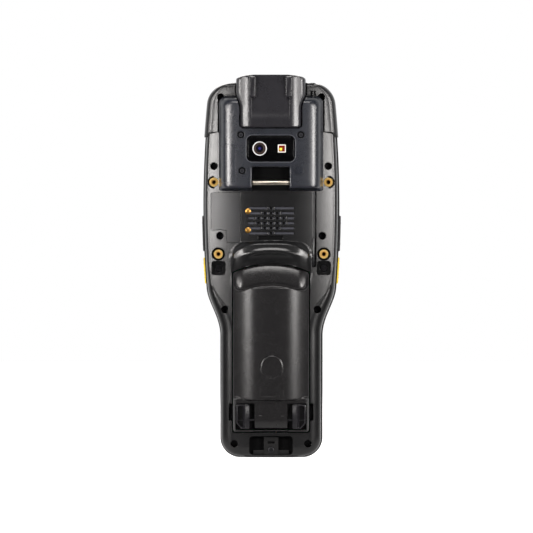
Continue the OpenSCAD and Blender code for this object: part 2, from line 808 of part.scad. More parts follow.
// Walls on each side of the strap slot, with seats for the bar
module strap_cheeks() {
    both_sides() difference() {
        block([strap_w / 2, y_back, cover_z + 2.2], [strap_w / 2 + bar_seat + 1, y_cover - 1.2, cover_z + strap_h]);
        crown(-0.05);
        rod_x(bar_y, bar_z, bar_r + 0.05, 0, strap_w / 2 + bar_seat);
    }
    difference() {
        block([-strap_w / 2 - 1, y_back, cover_z + strap_h], [strap_w / 2 + 1, y_cover - 1.2, cover_z + strap_h + 1.4]);
        crown(-0.05);
    }
}

// Bosses that carry the cover's screws
module cover_bosses() {
    for (side = [-1, 1], s = cover_screws) difference() {
        rod_y(side * s[0], s[1], cover_screw_r + 1.1, y_back - 0.6, y_cover - 1.4);
        crown(-0.05);
        rod_y(side * s[0], s[1], cover_shank_r + 0.1, y_back - 3, y_cover);
    }
}

// Width of the hood at height z above its foot
function hood_half(z) =
    let (grow = ease((z - 11) / 9), tip = hood_len - z)
    hood_w / 2 + (nose_w - hood_w) / 2 * grow
    - (tip < 2.8 ? end_drop(tip, 2.8) * 3.4 : 0);

module scan_hood() {
    heights = [0, 11, 13, 15, 17, 20, hood_len - 2.8, hood_len - 2, hood_len - 1.4, hood_len - 0.8, hood_len - 0.3, hood_len];
    r = hood_corner;
    slab_half = 10.4;
    color("#3a3a3f") difference() {
        union() {
            skin([for (h = heights) hood_ring(hood_z + h, hood_half(h), h < 15 ? y_back + 0.1 : nose_y, r)]);
            hood_ribs();
        }
        block([-slab_half, y_back - 6, hood_z + cover_wall], [slab_half, y_hood - 1.7 - cover_wall, hood_z + 16]);
        block([-15.6, nose_y + cover_wall, nose_z + 1], [15.6, y_hood - 2 - cover_wall, total_len - 3.2]);
        block([-13.4, nose_y + 2.8, total_len - 4], [13.4, y_hood - 4.6, total_len + 1]);
        through_x(-slab_half, slab_half)
            polygon([[y_hood + 0.01, hood_z + 4], [y_hood - 1.5, total_len + 1], [y_hood + 3, total_len + 1], [y_hood + 3, hood_z + 4]]);
        crown(-0.05);
    }
}

// Room that the module cover leaves for the hood
module hood_gap() {
    g = fit_gap;
    through_y(y_back - 5, y_hood) outline(concat(
        [[hood_half(0) + g, hood_z - g]],
        [for (h = [11, 13, 15, 17, 20]) [hood_half(h) + g, hood_z + h]],
        [[hood_half(20) + g, total_len]]
    ));
}

function hood_ring(z, half, base, r) = concat(
    [[half, base, z]],
    [for (a = [0:22.5:90]) [half - r + r * cos(a), y_hood - r + r * sin(a), z]],
    [for (a = [90:22.5:180]) [-half + r + r * cos(a), y_hood - r + r * sin(a), z]],
    [[-half, base, z]]
);

// Two ribs that the terminal can be laid down on
module hood_ribs() {
    z1 = total_len - 1;
    both_sides() through_x(10.4 - rib_w / 2, 10.4 + rib_w / 2)
        polygon([[y_hood - 2.4, z1 - rib_len], [y_rib - 0.5, z1 - rib_len], [y_rib, z1 - rib_len + 0.5],
            [y_rib, z1 - 0.8], [y_rib - 0.8, z1], [y_hood - 2.4, z1]]);
}

module scan_window() {
    color("#5a1016") block([-15.6 + fit_gap, nose_y + cover_wall + fit_gap, total_len - 4.6],
        [15.6 - fit_gap, y_hood - 2 - cover_wall - fit_gap, total_len - 3.2 - fit_gap]);
}

module scan_engine() {
    color("#202225") block([-13, nose_y + cover_wall + 0.2, nose_z + 1.4],
        [13, y_hood - 4.4 - cover_wall, total_len - 5]);
}

module camera_window() {
    color("#050506") pad(0, window_z, window_w, window_h, 2.4, window_y - window_t + 0.05, window_y);
}

module camera_module() {
    half = 4.2;
    color("#2a2b2e") block([lens_x - half, y_back + 0.6, window_z - half],
        [lens_x + half, window_y - window_t - 0.1, window_z + half]);
}

module camera_ring() {
    color("#d9dadc") difference() {
        rod_y(lens_x, window_z, lens_r, window_y, window_y + 0.25);
        rod_y(lens_x, window_z, lens_r - 1, window_y - 1, window_y + 1);
    }
}

module flash_lamp() {
    color("#f2efe6") pad(-lens_x, window_z, flash_w, flash_w, 0.5, window_y, window_y + 0.25);
}

module strap_bar() {
    color("#cfcac0") rod_x(bar_y, bar_z, bar_r, -strap_w / 2 - bar_seat + fit_gap, strap_w / 2 + bar_seat - fit_gap);
}

module speaker() {
    color("#303236") difference() {
        rod_y(0, grille_z, 9, y_back - wall - 5, y_back - wall - 0.6);
        at_contacts() rod_y(0, 0, contact_r + 1, y_back - 12, y_back);
    }
}

module trigger_contacts() {
    color("#c08a3c") at_contacts() rod_y(0, 0, contact_r, y_back - 4, y_back - 0.5);
}

module threaded_inserts() {
    color("#d9a441") at_inserts() difference() {
        rod_y(0, 0, insert_r, insert_y - insert_len, insert_y);
        rod_y(0, 0, core_r, insert_y - insert_len - 1, insert_y + 1);
    }
}

// Screw with a cross recess, its head's top at y
module screw(r, head_h, shank, len, y) {
    difference() {
        union() {
            rod_y(0, 0, r, y - head_h, y);
            rod_y(0, 0, shank, y - head_h - len, y - head_h + eps);
        }
        for (turn = [0, 90]) translate([0, y, 0]) rotate([0, turn, 0])
            block([-r * 0.62, -0.8, -r * 0.14], [r * 0.62, 1, r * 0.14]);
    }
}

module case_screws() {
    color("#141415") at_case_screws() screw(head_r, screw_head_h, shank_r, shank_len, seat_y + screw_head_h);
}

module cover_screws() {
    color("#1d1d1f") for (side = [-1, 1], s = cover_screws) translate([side * s[0], 0, s[1]])
        screw(cover_screw_r, 1, cover_shank_r, cover_h + 0.8, y_cover - 0.2);
}

module stylus() {
    tip = 3;
    color("#1a1a1c") translate([stylus_x, stylus_y, stylus_z]) {
        translate([0, 0, tip]) cylinder(r = stylus_r, h = stylus_len - tip);
        cylinder(r1 = 0.5, r2 = stylus_r, h = tip);
    }
}

module labels() {
    color("#4a4a4d") intersection() {
        through_y(y_back - 8, y_back + 1) label_shape(0.12);
        difference() {
            crown(label_deep - label_t);
            crown(label_deep - 0.02);
        }
    }
    z1 = cover_z + 26.4;
    color("#55585c") block([cover_w / 2 - cover_draft - 7.6, y_cover, cover_z + cover_draft + 3],
        [cover_w / 2 - cover_draft - 2.4, y_cover + 0.08, z1]);
}

// Cross-section of the pack's back as [x, y]
function pack_section() =
    let (n = 12)
    [for (k = [-n:n]) let (x = shoulder_out * k / n)
        [x, skirt_y + 2 + (pack_y - skirt_y - 2) * ease((shoulder_out - abs(x)) / (shoulder_out - shoulder_in))]];

module battery_cover() {
    color("#2c2c2f") difference() {
        intersection() {
            through_y(skirt_y, y_back + 8) bay_shape(0);
            union() {
                crown(rim_drop);
                pack_back();
                pack_bulge();
                pack_step();
            }
        }
        pack_hollow();
        both_sides() latch_window();
        both_sides() rod_x(guide_y, guide_z, guide_r + 0.02, block_x - 2, latch_x + latch_w + 1.4);
        pack_edge_relief();
    }
    color("#2c2c2f") pack_lug();
}

// Domed main part of the pack's back
module pack_back() {
    intersection() {
        translate([0, 0, step_z]) linear_extrude(pack_len)
            polygon(concat([[shoulder_out, skirt_y], [-shoulder_out, skirt_y]], pack_section()));
        rod_y(0, scoop_z, scoop_r, skirt_y - 1, y_back + 9, $fn = 180);
    }
}

// Raised lip under the arched edge
module pack_bulge() {
    half_span = 8.2;
    top = pack_y + 0.9;
    low = y_back + 1.6;
    profile = [for (k = [0:10]) let (t = k / 10)
        [crest_r - half_span + 2 * half_span * t, low + (top - low) * (1 - cos(360 * t)) / 2]];
    intersection() {
        arched(arch_z, 110) polygon(concat([[crest_r + half_span, skirt_y], [crest_r - half_span, skirt_y]], profile));
        block([-shoulder_out, skirt_y, arch_z], [shoulder_out, y_back + 9, total_len]);
    }
}

// Stepped lower end with a sloping lip
module pack_step() {
    through_x(-pack_w / 2 + 0.8, pack_w / 2 - 0.8)
        polygon([[skirt_y, pack_z], [step_y - 2.8, pack_z], [step_y, pack_z + 5.4], [step_y, step_z + 1],
            [skirt_y, step_z + 1]]);
}

// Room for the cells and, below them, for the latches
module pack_hollow() {
    g = fit_gap;
    block([-cell_w / 2 - g, skirt_y - 1, cell_z0 - g], [cell_w / 2 + g, cell_y + g, cell_z1 + g]);
    block([-core_w / 2 - g, skirt_y - 1, cell_z0 - g], [core_w / 2 + g, pack_y - 2 + g, cell_z1 - 12 + g]);
    block([-cell_w / 2 - g, skirt_y - 1, pack_z + 1.2], [cell_w / 2 + g, step_y - plate_t, cell_z0 - 1]);
}

// Window that a latch slides in
module latch_window() {
    block([block_x, y_back - 6, latch_z - window_gap], [latch_x + latch_w + window_gap, y_back + 8, latch_z + latch_h + window_gap]);
}

// The top edge is bevelled so that it turns past the housing
module pack_edge_relief() {
    arched(arch_z, 80) polygon([[arch_r - 1.4, y_back + 4], [arch_r + 1, y_back + 4], [arch_r + 1, skirt_y - 0.1],
        [arch_r - 0.25, skirt_y - 0.1], [arch_r - 1, y_back - 0.8]]);
}

// Round lug that hooks under the housing, on a web
module pack_lug() {
    rod_x(lug_y, lug_z, lug_r, -lug_w / 2, lug_w / 2);
    intersection() {
        block([-lug_w / 2, lug_y - 0.7, lug_z - 3.4], [lug_w / 2, lug_y + 0.7, lug_z]);
        through_y(skirt_y - 9, y_back + 8) bay_shape(4);
    }
}

module battery_case() {
    color("#26272a") {
        block([-cell_w / 2, bay_floor_y, cell_z0], [cell_w / 2, cell_y, cell_z1]);
        block([-core_w / 2, cell_y - eps, cell_z0], [core_w / 2, pack_y - 2, cell_z1 - 12]);
        block([-cell_w / 2, latch_foot_y - 2, pack_z + 1.6], [cell_w / 2, latch_foot_y - fit_gap, cell_z0 + eps]);
    }
}

module battery_contacts() {
    color("#d9b45a") for (k = [-1.5:1.5])
        block([k * 4 - 1, bay_floor_y - 0.1, cell_z1 - 7], [k * 4 + 1, bay_floor_y, cell_z1 - 2]);
}

// Latch of the left side: finger pad, flange, leg and tongue
module latch() {
    x1 = latch_x + latch_w;
    color("#3b3c40") difference() {
        union() {
            latch_pad();
            block([latch_x + eps, latch_foot_y, tongue_z], [x1 - 1, step_y - plate_t + 0.5, tongue_z + tongue_h]);
            block([latch_x, latch_foot_y, tongue_z], [tongue_out, latch_foot_y + 2.4, tongue_z + tongue_h]);
            block([latch_x - latch_flange, step_y - plate_t - 1.2, latch_z - 0.2],
                [x1 + 0.2, step_y - plate_t - fit_gap, latch_z + latch_h + 0.2]);
        }
        rod_x(guide_y, guide_z, guide_r + 0.05, latch_x - 1, x1 + 1);
    }
}

// Finger pad with a cut corner and a raised grip edge
module latch_pad() {
    x1 = latch_x + latch_w;
    z1 = latch_z + latch_h;
    through_y(step_y - plate_t - 0.6, step_y + 0.3)
        polygon([[latch_x, latch_z], [x1 - 2.6, latch_z], [x1, latch_z + 2.8], [x1, z1], [latch_x, z1]]);
    through_y(step_y - 1, step_y + 1)
        polygon([[latch_x + 1.4, latch_z + 1.2], [latch_x + 2.6, latch_z + 1.2], [latch_x + 2.6, z1 - 1.6], [latch_x + 1.4, z1 - 1.6]]);
}

module latch_left() { latch(); }
module latch_right() { mirror([1, 0, 0]) latch(); }

module latch_pins() {
    color("#b9bcc0") both_sides() rod_x(guide_y, guide_z, guide_r, block_x - 2 + fit_gap, latch_x + latch_w + 1.2);
}

module bay_connector() {
    color("#c8a250") for (k = [-1.5:1.5])
        block([k * 4 - 0.7, bay_floor_y - run_gap, cell_z1 - 6], [k * 4 + 0.7, bay_floor_y - 0.15, cell_z1 - 3]);
}

module strap_anchor() {
    mid = (recess_z0 + recess_z1) / 2;
    color("#222327") difference() {
        union() {
            block([-anchor_w / 2, recess_y + 0.02, recess_z0 + 0.2], [anchor_w / 2, anchor_y, recess_z1 - 0.6]);
            block([-recess_w / 2 + 2.2, recess_y + 0.02, recess_z0 + 0.2], [recess_w / 2 - 2.2, anchor_y - 2.2, recess_z0 + 2.6]);
        }
        block([-2, anchor_y - 2.4, mid + 1], [2, anchor_y + 1, mid + 2.2]);
        rod_y(0, recess_z0 + 2.6, 1.95, anchor_y - 0.9, anchor_y + 1);
        rod_y(0, recess_z0 + 2.6, 0.85, recess_y, anchor_y);
    }
}

module anchor_screw() {
    color("#17171a") translate([0, 0, recess_z0 + 2.6]) screw(1.8, 0.8, 0.8, 2.6, anchor_y - 0.1);
}

module dock_connector() {
    y0 = dock_y - 0.6;
    y1 = dock_y + dock_t + 0.6;
    z0 = wall + fit_gap;
    color("#1c1d20") difference() {
        block([-dock_w / 2 - 1.2, y0, z0], [dock_w / 2 + 1.2, y1, z0 + dock_deep]);
        block([-dock_w / 2 + 0.4, dock_y + 0.2, z0 - 1], [dock_w / 2 - 0.4, dock_y + dock_t - 0.2, z0 + dock_deep - 1.4]);
    }
    color("#d9b45a") for (k = [-5:5])
        block([k * 2 - 0.4, dock_y - fit_gap, z0 + 1], [k * 2 + 0.4, dock_y + 0.7, z0 + dock_deep - 1.2]);
}

module touch_panel() {
    color("#07080a") pad(0, panel_z + panel_h / 2, panel_w, panel_h, 3, y_face + 0.05, y_face + panel_t);
}

module display_module() {
    color("#3a4452") block([-lcd_w / 2, lcd_y, lcd_z], [lcd_w / 2, lcd_y + lcd_t, lcd_z + lcd_h]);
}

module main_board() {
    color("#1f5c3a") difference() {
        through_y(board_y, board_y + board_t) outline([
            [board_edge, board_z0], [board_edge, rocker_z + rocker_len + 2],
            [board_w / 2, rocker_z + rocker_len + 2], [board_w / 2, board_z1 - board_cut],
            [board_w / 2 - board_cut, board_z1],
        ]);
        at_case_screws() rod_y(0, 0, boss_r + 0.3, board_y - 1, board_y + board_t + 1);
    }
}

module shield_cans() {
    y0 = board_y + board_t;
    z = pack_top + 8;
    color("#b6b9bd") {
        block([-22, y0, z + 46], [4, y0 + can_t, z + 74]);
        block([8, y0, z + 46], [22, y0 + can_t, z + 66]);
        block([-20, y0, z + 32], [20, y0 + can_t, z + 43]);
    }
}

module keypad_board() {
    color("#1f5c3a") difference() {
        block([-grip_w / 2 + 4.4, pad_y, 5.6 + dock_deep], [grip_w / 2 - 4.4, pad_y + pad_t, key_top + 4]);
        at_case_screws() rod_y(0, 0, boss_r + 0.3, pad_y - 1, pad_y + pad_t + 1);
    }
}

module key_domes() {
    color("#c9ccd0") for (key = KEYS) key_place(key)
        rod_y(0, 0, dome_r, pad_y - dome_t + 0.02, pad_y - eps);
}

module housing_seal() {
    color("#0e0e0f") seal_ring(seal_in, seal_w, y_part - 0.65, y_part + 0.05);
}

// Key of a side: cap through the wall with a flange at distance g behind it
module side_key(z0, len, g, tint) {
    w = side_key_w / 2;
    color(tint) union() {
        side_strip(z0, z0 + len, -wall - g - side_flange + 0.2, side_rise, side_y - w, side_y + w);
        side_strip(z0 - side_lip, z0 + len + side_lip, -wall - g - side_flange, -wall - g,
            side_y - w - side_lip, side_y + w + side_lip);
    }
}

module scan_key_left() { side_key(scan_z, scan_len, fit_gap, "#f2c500"); }
module scan_key_right() { mirror([1, 0, 0]) side_key(scan_z, scan_len, fit_gap, "#f2c500"); }
module rocker_left() { rocker(); }
module rocker_right() { mirror([1, 0, 0]) rocker(); }

// Side rocker with the pin that it turns on
module rocker() {
    reach = side_key_w / 2 + side_lip + 0.5;
    side_key(rocker_z, rocker_len, rock_gap, "#2a2b2e");
    color("#2a2b2e") rod_y(rocker_x, rocker_z + rocker_len / 2, side_flange / 2, side_y - reach, side_y + reach);
}

// Switches behind the side keys, lying on the main board
module side_switches() {
    y0 = board_y + board_t;
    d = wall + fit_gap + side_flange + side_travel + fit_gap;
    color("#8b8e92") both_sides() for (z = switch_z)
        block([board_edge - 2, y0, z - switch_w / 2], [body_half(z) - d, y0 + 2, z + switch_w / 2]);
}

// Slot of the earpiece above the display
module earpiece_slot(y0, y1) {
    z = panel_z + panel_h + 4.4;
    pad(0, z, 12, 1.8, 0.89, y0 - 1, y1);
}

module earpiece() {
    z = panel_z + panel_h + 4.4;
    color("#15161a") pad(0, z, 15, 4.4, 1, y_face + face_t + fit_gap, y_face + face_t + 2.2);
}

module key_place(key) {
    translate([key[1] * key_pitch_x, 0, key_z + key[2] * key_pitch_z]) children();
}

// Key outline grown by g
module key_shape(key, g, y0, y1) {
    pad(0, 0, key[3] + 2 * g, key[4] + 2 * g, 3 + g, y0, y1);
}

// Cap with a flange behind the face and a stem over its dome
module keycap(key) {
    tint = key[0] == "key_scan" ? "#f2c500" : "#2b2d31";
    color(tint) key_place(key) {
        key_shape(key, 0, y_key, key_back + key_flange);
        key_shape(key, key_lip, key_back, key_back + key_flange);
    }
}

front_housing();
rear_housing();
top_bumper();
module_cover();
scan_hood();
scan_window();
scan_engine();
camera_window();
camera_module();
camera_ring();
flash_lamp();
strap_bar();
speaker();
trigger_contacts();
threaded_inserts();
case_screws();
cover_screws();
stylus();
labels();
battery_cover();
battery_case();
battery_contacts();
latch_left();
latch_right();
latch_pins();
bay_connector();
strap_anchor();
anchor_screw();
dock_connector();
touch_panel();
display_module();
main_board();
shield_cans();
keypad_board();
key_domes();
housing_seal();
scan_key_left();
scan_key_right();
rocker_left();
rocker_right();
side_switches();
earpiece();
for (key = KEYS) keycap(key);
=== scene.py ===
"""Portable barcode data terminal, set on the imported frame.

Finer housings, battery pack, keys and fittings, with their finishes. Sizes are in
millimetres until a mesh is made. +Y is the back with the battery, -Y the front with
display and keypad.
"""

import json
import logging
import math
from dataclasses import dataclass, field
from enum import Enum
from typing import Callable, Sequence

import bmesh
import bpy
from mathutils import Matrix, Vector

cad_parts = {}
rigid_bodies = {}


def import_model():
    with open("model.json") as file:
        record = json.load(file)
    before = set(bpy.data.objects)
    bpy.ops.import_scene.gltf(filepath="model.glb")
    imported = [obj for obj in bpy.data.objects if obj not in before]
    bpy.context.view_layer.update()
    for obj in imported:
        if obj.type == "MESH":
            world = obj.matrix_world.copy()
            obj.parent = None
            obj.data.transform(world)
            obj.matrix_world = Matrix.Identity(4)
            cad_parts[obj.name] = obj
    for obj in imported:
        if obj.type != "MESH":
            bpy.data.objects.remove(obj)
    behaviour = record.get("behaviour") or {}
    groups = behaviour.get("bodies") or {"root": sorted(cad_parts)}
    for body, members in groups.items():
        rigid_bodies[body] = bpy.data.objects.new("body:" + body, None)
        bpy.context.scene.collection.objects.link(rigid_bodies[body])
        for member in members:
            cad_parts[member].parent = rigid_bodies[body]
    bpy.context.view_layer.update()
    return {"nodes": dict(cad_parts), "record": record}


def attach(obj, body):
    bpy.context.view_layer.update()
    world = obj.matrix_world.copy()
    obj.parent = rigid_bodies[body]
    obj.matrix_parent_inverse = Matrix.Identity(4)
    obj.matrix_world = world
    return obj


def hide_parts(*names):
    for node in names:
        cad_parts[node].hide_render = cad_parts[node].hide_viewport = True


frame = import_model()

MM = 0.001
LOG = logging.getLogger("terminal")
Point = tuple[float, float, float]
Flat = tuple[float, float]
Object = bpy.types.Object
Socket = bpy.types.NodeSocket
Sockets = dict[str | int, object]


# ---------------------------------------------------------------- plain maths


def ease(t: float) -> float:
    """Smooth step from 0 to 1."""
    c = min(1.0, max(0.0, t))
    return c * c * (3 - 2 * c)


def sag(radius: float, x: float) -> float:
    """Drop of an arc of that radius at distance x from its crest."""
    return radius - math.sqrt(max(0.0, radius * radius - x * x))


def end_drop(d: float, radius: float) -> float:
    """Drop of a rounded end of that radius at distance d from its tip."""
    return 0.0 if d >= radius else radius - math.sqrt(max(0.0, radius**2 - (radius - max(0.0, d)) ** 2))


def soft_max(a: float, b: float, width: float) -> float:
    """The larger of a and b, with the corner between them rounded over width."""
    h = max(width - abs(a - b), 0.0) / width
    return max(a, b) + h * h * width * 0.25


def steps(a: float, b: float, n: int) -> list[float]:
    """n + 1 even values from a to b."""
    return [a + (b - a) * k / n for k in range(n + 1)]


def cosd(a: float) -> float:
    """Cosine of an angle in degrees."""
    return math.cos(math.radians(a))


def sind(a: float) -> float:
    """Sine of an angle in degrees."""
    return math.sin(math.radians(a))


def circle(r: float, n: int) -> list[Flat]:
    """n points on a circle round zero."""
    turns = [2 * math.pi * k / n for k in range(n)]
    return [(r * math.cos(a), r * math.sin(a)) for a in turns]


# ---------------------------------------------------------------- shapes


@dataclass
class Shape:
    """Points in millimetres and faces, before they become a Blender mesh."""

    points: list[Point] = field(default_factory=list)
    faces: list[tuple[int, ...]] = field(default_factory=list)

    def __add__(self, other: "Shape") -> "Shape":
        """Both shapes in one, not joined."""
        n = len(self.points)
        return Shape(self.points + other.points, self.faces + [tuple(i + n for i in f) for f in other.faces])

    def mirrored(self) -> "Shape":
        """The shape on the other side of the body."""
        return Shape([(-p[0], p[1], p[2]) for p in self.points], [tuple(reversed(f)) for f in self.faces])

    def on_side(self, side: int) -> "Shape":
        """The shape on the left (1) or right (-1) side."""
        return self if side > 0 else self.mirrored()

    def both(self) -> "Shape":
        """The shape and its mirror image."""
        return self + self.mirrored()

    def bent(self, change: Callable[[Point], Point]) -> "Shape":
        """The shape with every point passed through change."""
        return Shape([change(p) for p in self.points], list(self.faces))


def skin(rings: Sequence[Sequence[Point]]) -> Shape:
    """Closed skin through rings with the same number of points.

    Args:
        rings: Closed outlines in order, from one end of the form to the other.

    Returns:
        A closed form with a flat face at each end.
    """
    n = len(rings[0])
    faces: list[tuple[int, ...]] = [tuple(range(n))]
    for k in range(len(rings) - 1):
        for i in range(n):
            j = (i + 1) % n
            faces.append((k * n + i, (k + 1) * n + i, (k + 1) * n + j, k * n + j))
    last = (len(rings) - 1) * n
    faces.append(tuple(range(last + n - 1, last - 1, -1)))
    return Shape([p for ring in rings for p in ring], faces)


def hoop(rings: Sequence[Sequence[Point]]) -> Shape:
    """Ring-shaped form: a skin whose last ring is joined to the first."""
    n, m = len(rings[0]), len(rings)
    faces = []
    for k in range(m):
        here, after = k * n, (k + 1) % m * n
        faces += [(here + i, after + i, after + (i + 1) % n, here + (i + 1) % n) for i in range(n)]
    return Shape([p for ring in rings for p in ring], faces)


def round_rect(w: float, h: float, r: float, n: int = 8) -> list[Flat]:
    """Outline of a rectangle with rounded corners about its middle.

    Args:
        w, h: Its width and height.
        r: Radius of its corners.
        n: Steps of a corner.

    Returns:
        The outline, one corner after the other.
    """
    out: list[Flat] = []
    for sx, sz, turn in ((1, 1, 0), (-1, 1, 90), (-1, -1, 180), (1, -1, 270)):
        for k in range(n + 1):
            a = turn + 90 * k / n
            out.append((sx * (w / 2 - r) + r * cosd(a), sz * (h / 2 - r) + r * sind(a)))
    return out


def rounded(x: float, y: float, z: float, w: float, h: float, r: float, n: int = 8) -> list[Point]:
    """Rounded rectangle about (x, z) at depth y; the rest is as in round_rect."""
    return [(x + p, y, z + q) for p, q in round_rect(w, h, r, n)]


def dense(outline: Sequence[Flat], spacing: float = 1.5) -> list[Flat]:
    """The outline with its long sides divided.

    Args:
        outline: A closed outline.
        spacing: The longest side that stays undivided.

    Returns:
        The outline with more points.
    """
    fine: list[Flat] = []
    for k, (x, z) in enumerate(outline):
        nx, nz = outline[(k + 1) % len(outline)]
        count = max(1, round(math.hypot(nx - x, nz - z) / spacing))
        fine += [(x + (nx - x) * i / count, z + (nz - z) * i / count) for i in range(count)]
    return fine


def columns(spans: Sequence[Point], surface: Callable[[float, float], float], low: float, high: float) -> Shape:
    """Slab between two offsets from a curved surface.

    Args:
        spans: (x, lower z, upper z) of its columns, from one side to the other.
        surface: Depth of the surface at (x, z).
        low, high: Offsets of its two faces from the surface.

    Returns:
        The slab as a closed shape.
    """
    rings = []
    for x, a, b in spans:
        rings.append([(x, surface(x, z) + d, z) for z, d in ((a, low), (a, high), (b, high), (b, low))])
    return skin(rings)


def prism(outline: Sequence[Flat], y0: float, y1: float) -> Shape:
    """Outline drawn as (x, z), extruded from depth y0 to depth y1."""
    return skin([[(x, y, z) for x, z in outline] for y in (y0, y1)])


def prism_x(outline: Sequence[Flat], x0: float, x1: float) -> Shape:
    """Outline drawn as (y, z), extruded from x0 to x1."""
    return skin([[(x, y, z) for y, z in outline] for x in (x0, x1)])


def block(low: Point, high: Point) -> Shape:
    """Box between two corners."""
    return prism([(low[0], low[2]), (high[0], low[2]), (high[0], high[2]), (low[0], high[2])], low[1], high[1])


def pad(
    x: float, z: float, w: float, h: float, r: float, y0: float, y1: float, soft: float = 0.0, n: int = 8
) -> Shape:
    """Rounded slab whose edge at the y1 end is rounded.

    Args:
        x, z: Its middle.
        w, h, r: Width, height and corner radius of its outline.
        y0, y1: Depths of its plain end and of its rounded end.
        soft: Radius of the rounded edge, or 0 for a sharp one.
        n: Points on each corner.

    Returns:
        The slab as a closed shape.
    """
    way = 1.0 if y1 > y0 else -1.0
    rings = [(0.0, y0)]
    if soft:
        rings += [(soft * (1 - cosd(a)), y1 - way * soft * (1 - sind(a))) for a in (0, 22.5, 45, 67.5, 90)]
    else:
        rings.append((0.0, y1))
    return skin([rounded(x, y, z, w - 2 * d, h - 2 * d, max(0.05, r - d), n) for d, y in rings])


def lathe(x: float, z: float, profile: Sequence[Flat], n: int = 48) -> Shape:
    """Profile of (radius, y) pairs turned about an axis along Y through (x, z)."""
    return skin([[(x + p, y, z + q) for p, q in circle(r, n)] for r, y in profile])


def lathe_z(x: float, y: float, profile: Sequence[Flat], n: int = 32) -> Shape:
    """Profile of (radius, z) pairs turned about an axis along Z through (x, y)."""
    return skin([[(x + p, y + q, z) for p, q in circle(r, n)] for r, z in profile])


def flat_ring(x: float, z: float, r1: float, r0: float, y0: float, y1: float) -> Shape:
    """Flat ring with rounded rims.

    Args:
        x, z: Its middle.
        r1, r0: Its outer and inner radius.
        y0, y1: Depths of its base and of its face.

    Returns:
        The ring as a closed shape.
    """
    s = min(0.1, (y1 - y0) * 0.4)
    outer = [(r1, y0), (r1, y1 - s), (r1 - s * 0.3, y1 - s * 0.3), (r1 - s, y1)]
    inner = [(r0 + s, y1), (r0 + s * 0.3, y1 - s * 0.3), (r0, y1 - s), (r0, y0)]
    return hoop([[(x + p, y, z + q) for p, q in circle(r, 64)] for r, y in outer + inner])


def rod_y(x: float, z: float, r: float, y0: float, y1: float, n: int = 48) -> Shape:
    """Round rod along Y."""
    return lathe(x, z, [(r, y0), (r, y1)], n)


def rod_x(y: float, z: float, r: float, x0: float, x1: float, n: int = 40, soft: float = 0.0) -> Shape:
    """Round rod along X, with its ends rounded by soft.

    Args:
        y, z: Its middle line.
        r: Its radius.
        x0, x1: Its ends.
        n: Sides of its section.
        soft: Radius of its rims.

    Returns:
        The rod as a closed shape.
    """
    profile = [(r, x0), (r, x1)]
    if soft:
        third = soft * 0.3
        profile = [(r - soft, x0), (r - third, x0 + third), (r, x0 + soft)]
        profile += [(r, x1 - soft), (r - third, x1 - third), (r - soft, x1)]
    return skin([[(x, y + p, z + q) for p, q in circle(size, n)] for size, x in profile])


# ---------------------------------------------------------------- meshes


def as_object(name: str, shape: Shape) -> Object:
    """Makes a Blender object of a shape, with its faces pointing outwards.

    Args:
        name: The object's name.
        shape: Its form, in millimetres.

    Returns:
        The new object, in the scene.
    """
    mesh = bpy.data.meshes.new(name)
    mesh.from_pydata([(p[0] * MM, p[1] * MM, p[2] * MM) for p in shape.points], [], shape.faces)
    work = bmesh.new()
    work.from_mesh(mesh)
    bmesh.ops.remove_doubles(work, verts=work.verts, dist=1e-7)
    bmesh.ops.recalc_face_normals(work, faces=work.faces)
    work.to_mesh(mesh)
    work.free()
    obj = bpy.data.objects.new(name, mesh)
    bpy.context.scene.collection.objects.link(obj)
    return obj


def settle_modifiers(obj: Object) -> None:
    """Turns the object's modifiers into its plain mesh."""
    graph = bpy.context.evaluated_depsgraph_get()
    graph.update()
    mesh = bpy.data.meshes.new_from_object(obj.evaluated_get(graph))
    old = obj.data
    obj.modifiers.clear()
    obj.data = mesh
    bpy.data.meshes.remove(old)


def drop(obj: Object) -> None:
    """Removes a helper object and its mesh."""
    mesh = obj.data
    bpy.data.objects.remove(obj)
    bpy.data.meshes.remove(mesh)


class Cut(Enum):
    """What a second form does to the first."""

    AWAY = "DIFFERENCE"
    KEEP = "INTERSECT"
    JOIN = "UNION"


def work_on(obj: Object, tools: Sequence[Shape | Object], how: Cut = Cut.AWAY) -> None:
    """Cuts each tool out of the object, or keeps or joins it, one after the other.

    Args:
        obj: The object that is changed.
        tools: The shapes.
        how: What they do to it.
    """
    for tool in tools:
        helper = as_object("helper", tool) if isinstance(tool, Shape) else tool
        modifier = obj.modifiers.new("cut", "BOOLEAN")
        modifier.operation = how.value
        modifier.solver = "EXACT"
        modifier.object = helper
        settle_modifiers(obj)
        if isinstance(tool, Shape):
            drop(helper)


def round_edges(obj: Object, width: float, segments: int = 2, angle: float = 35.0) -> None:
    """Rounds the edges that are sharper than angle, by width in millimetres.

    Args:
        obj: The object.
        width: How wide the rounding is, in millimetres.
        segments: Its steps.
        angle: Edges flatter than this stay as they are.
    """
    modifier = obj.modifiers.new("edge", "BEVEL")
    modifier.width = width * MM
    modifier.segments = segments
    modifier.limit_method = "ANGLE"
    modifier.angle_limit = math.radians(angle)
    modifier.use_clamp_overlap = True
    modifier.miter_outer = "MITER_ARC"
    settle_modifiers(obj)


def smooth(obj: Object, angle: float = 32.0) -> None:
    """Shades the object smooth, apart from edges sharper than angle.

    Args:
        obj: The object.
        angle: Edges sharper than this stay sharp, in degrees.
    """
    work = bmesh.new()
    work.from_mesh(obj.data)
    bmesh.ops.remove_doubles(work, verts=work.verts, dist=2e-7)
    bmesh.ops.dissolve_degenerate(work, dist=1e-7, edges=work.edges)
    work.to_mesh(obj.data)
    work.free()
    obj.data.shade_smooth()
    obj.data.set_sharp_from_angle(angle=math.radians(angle))


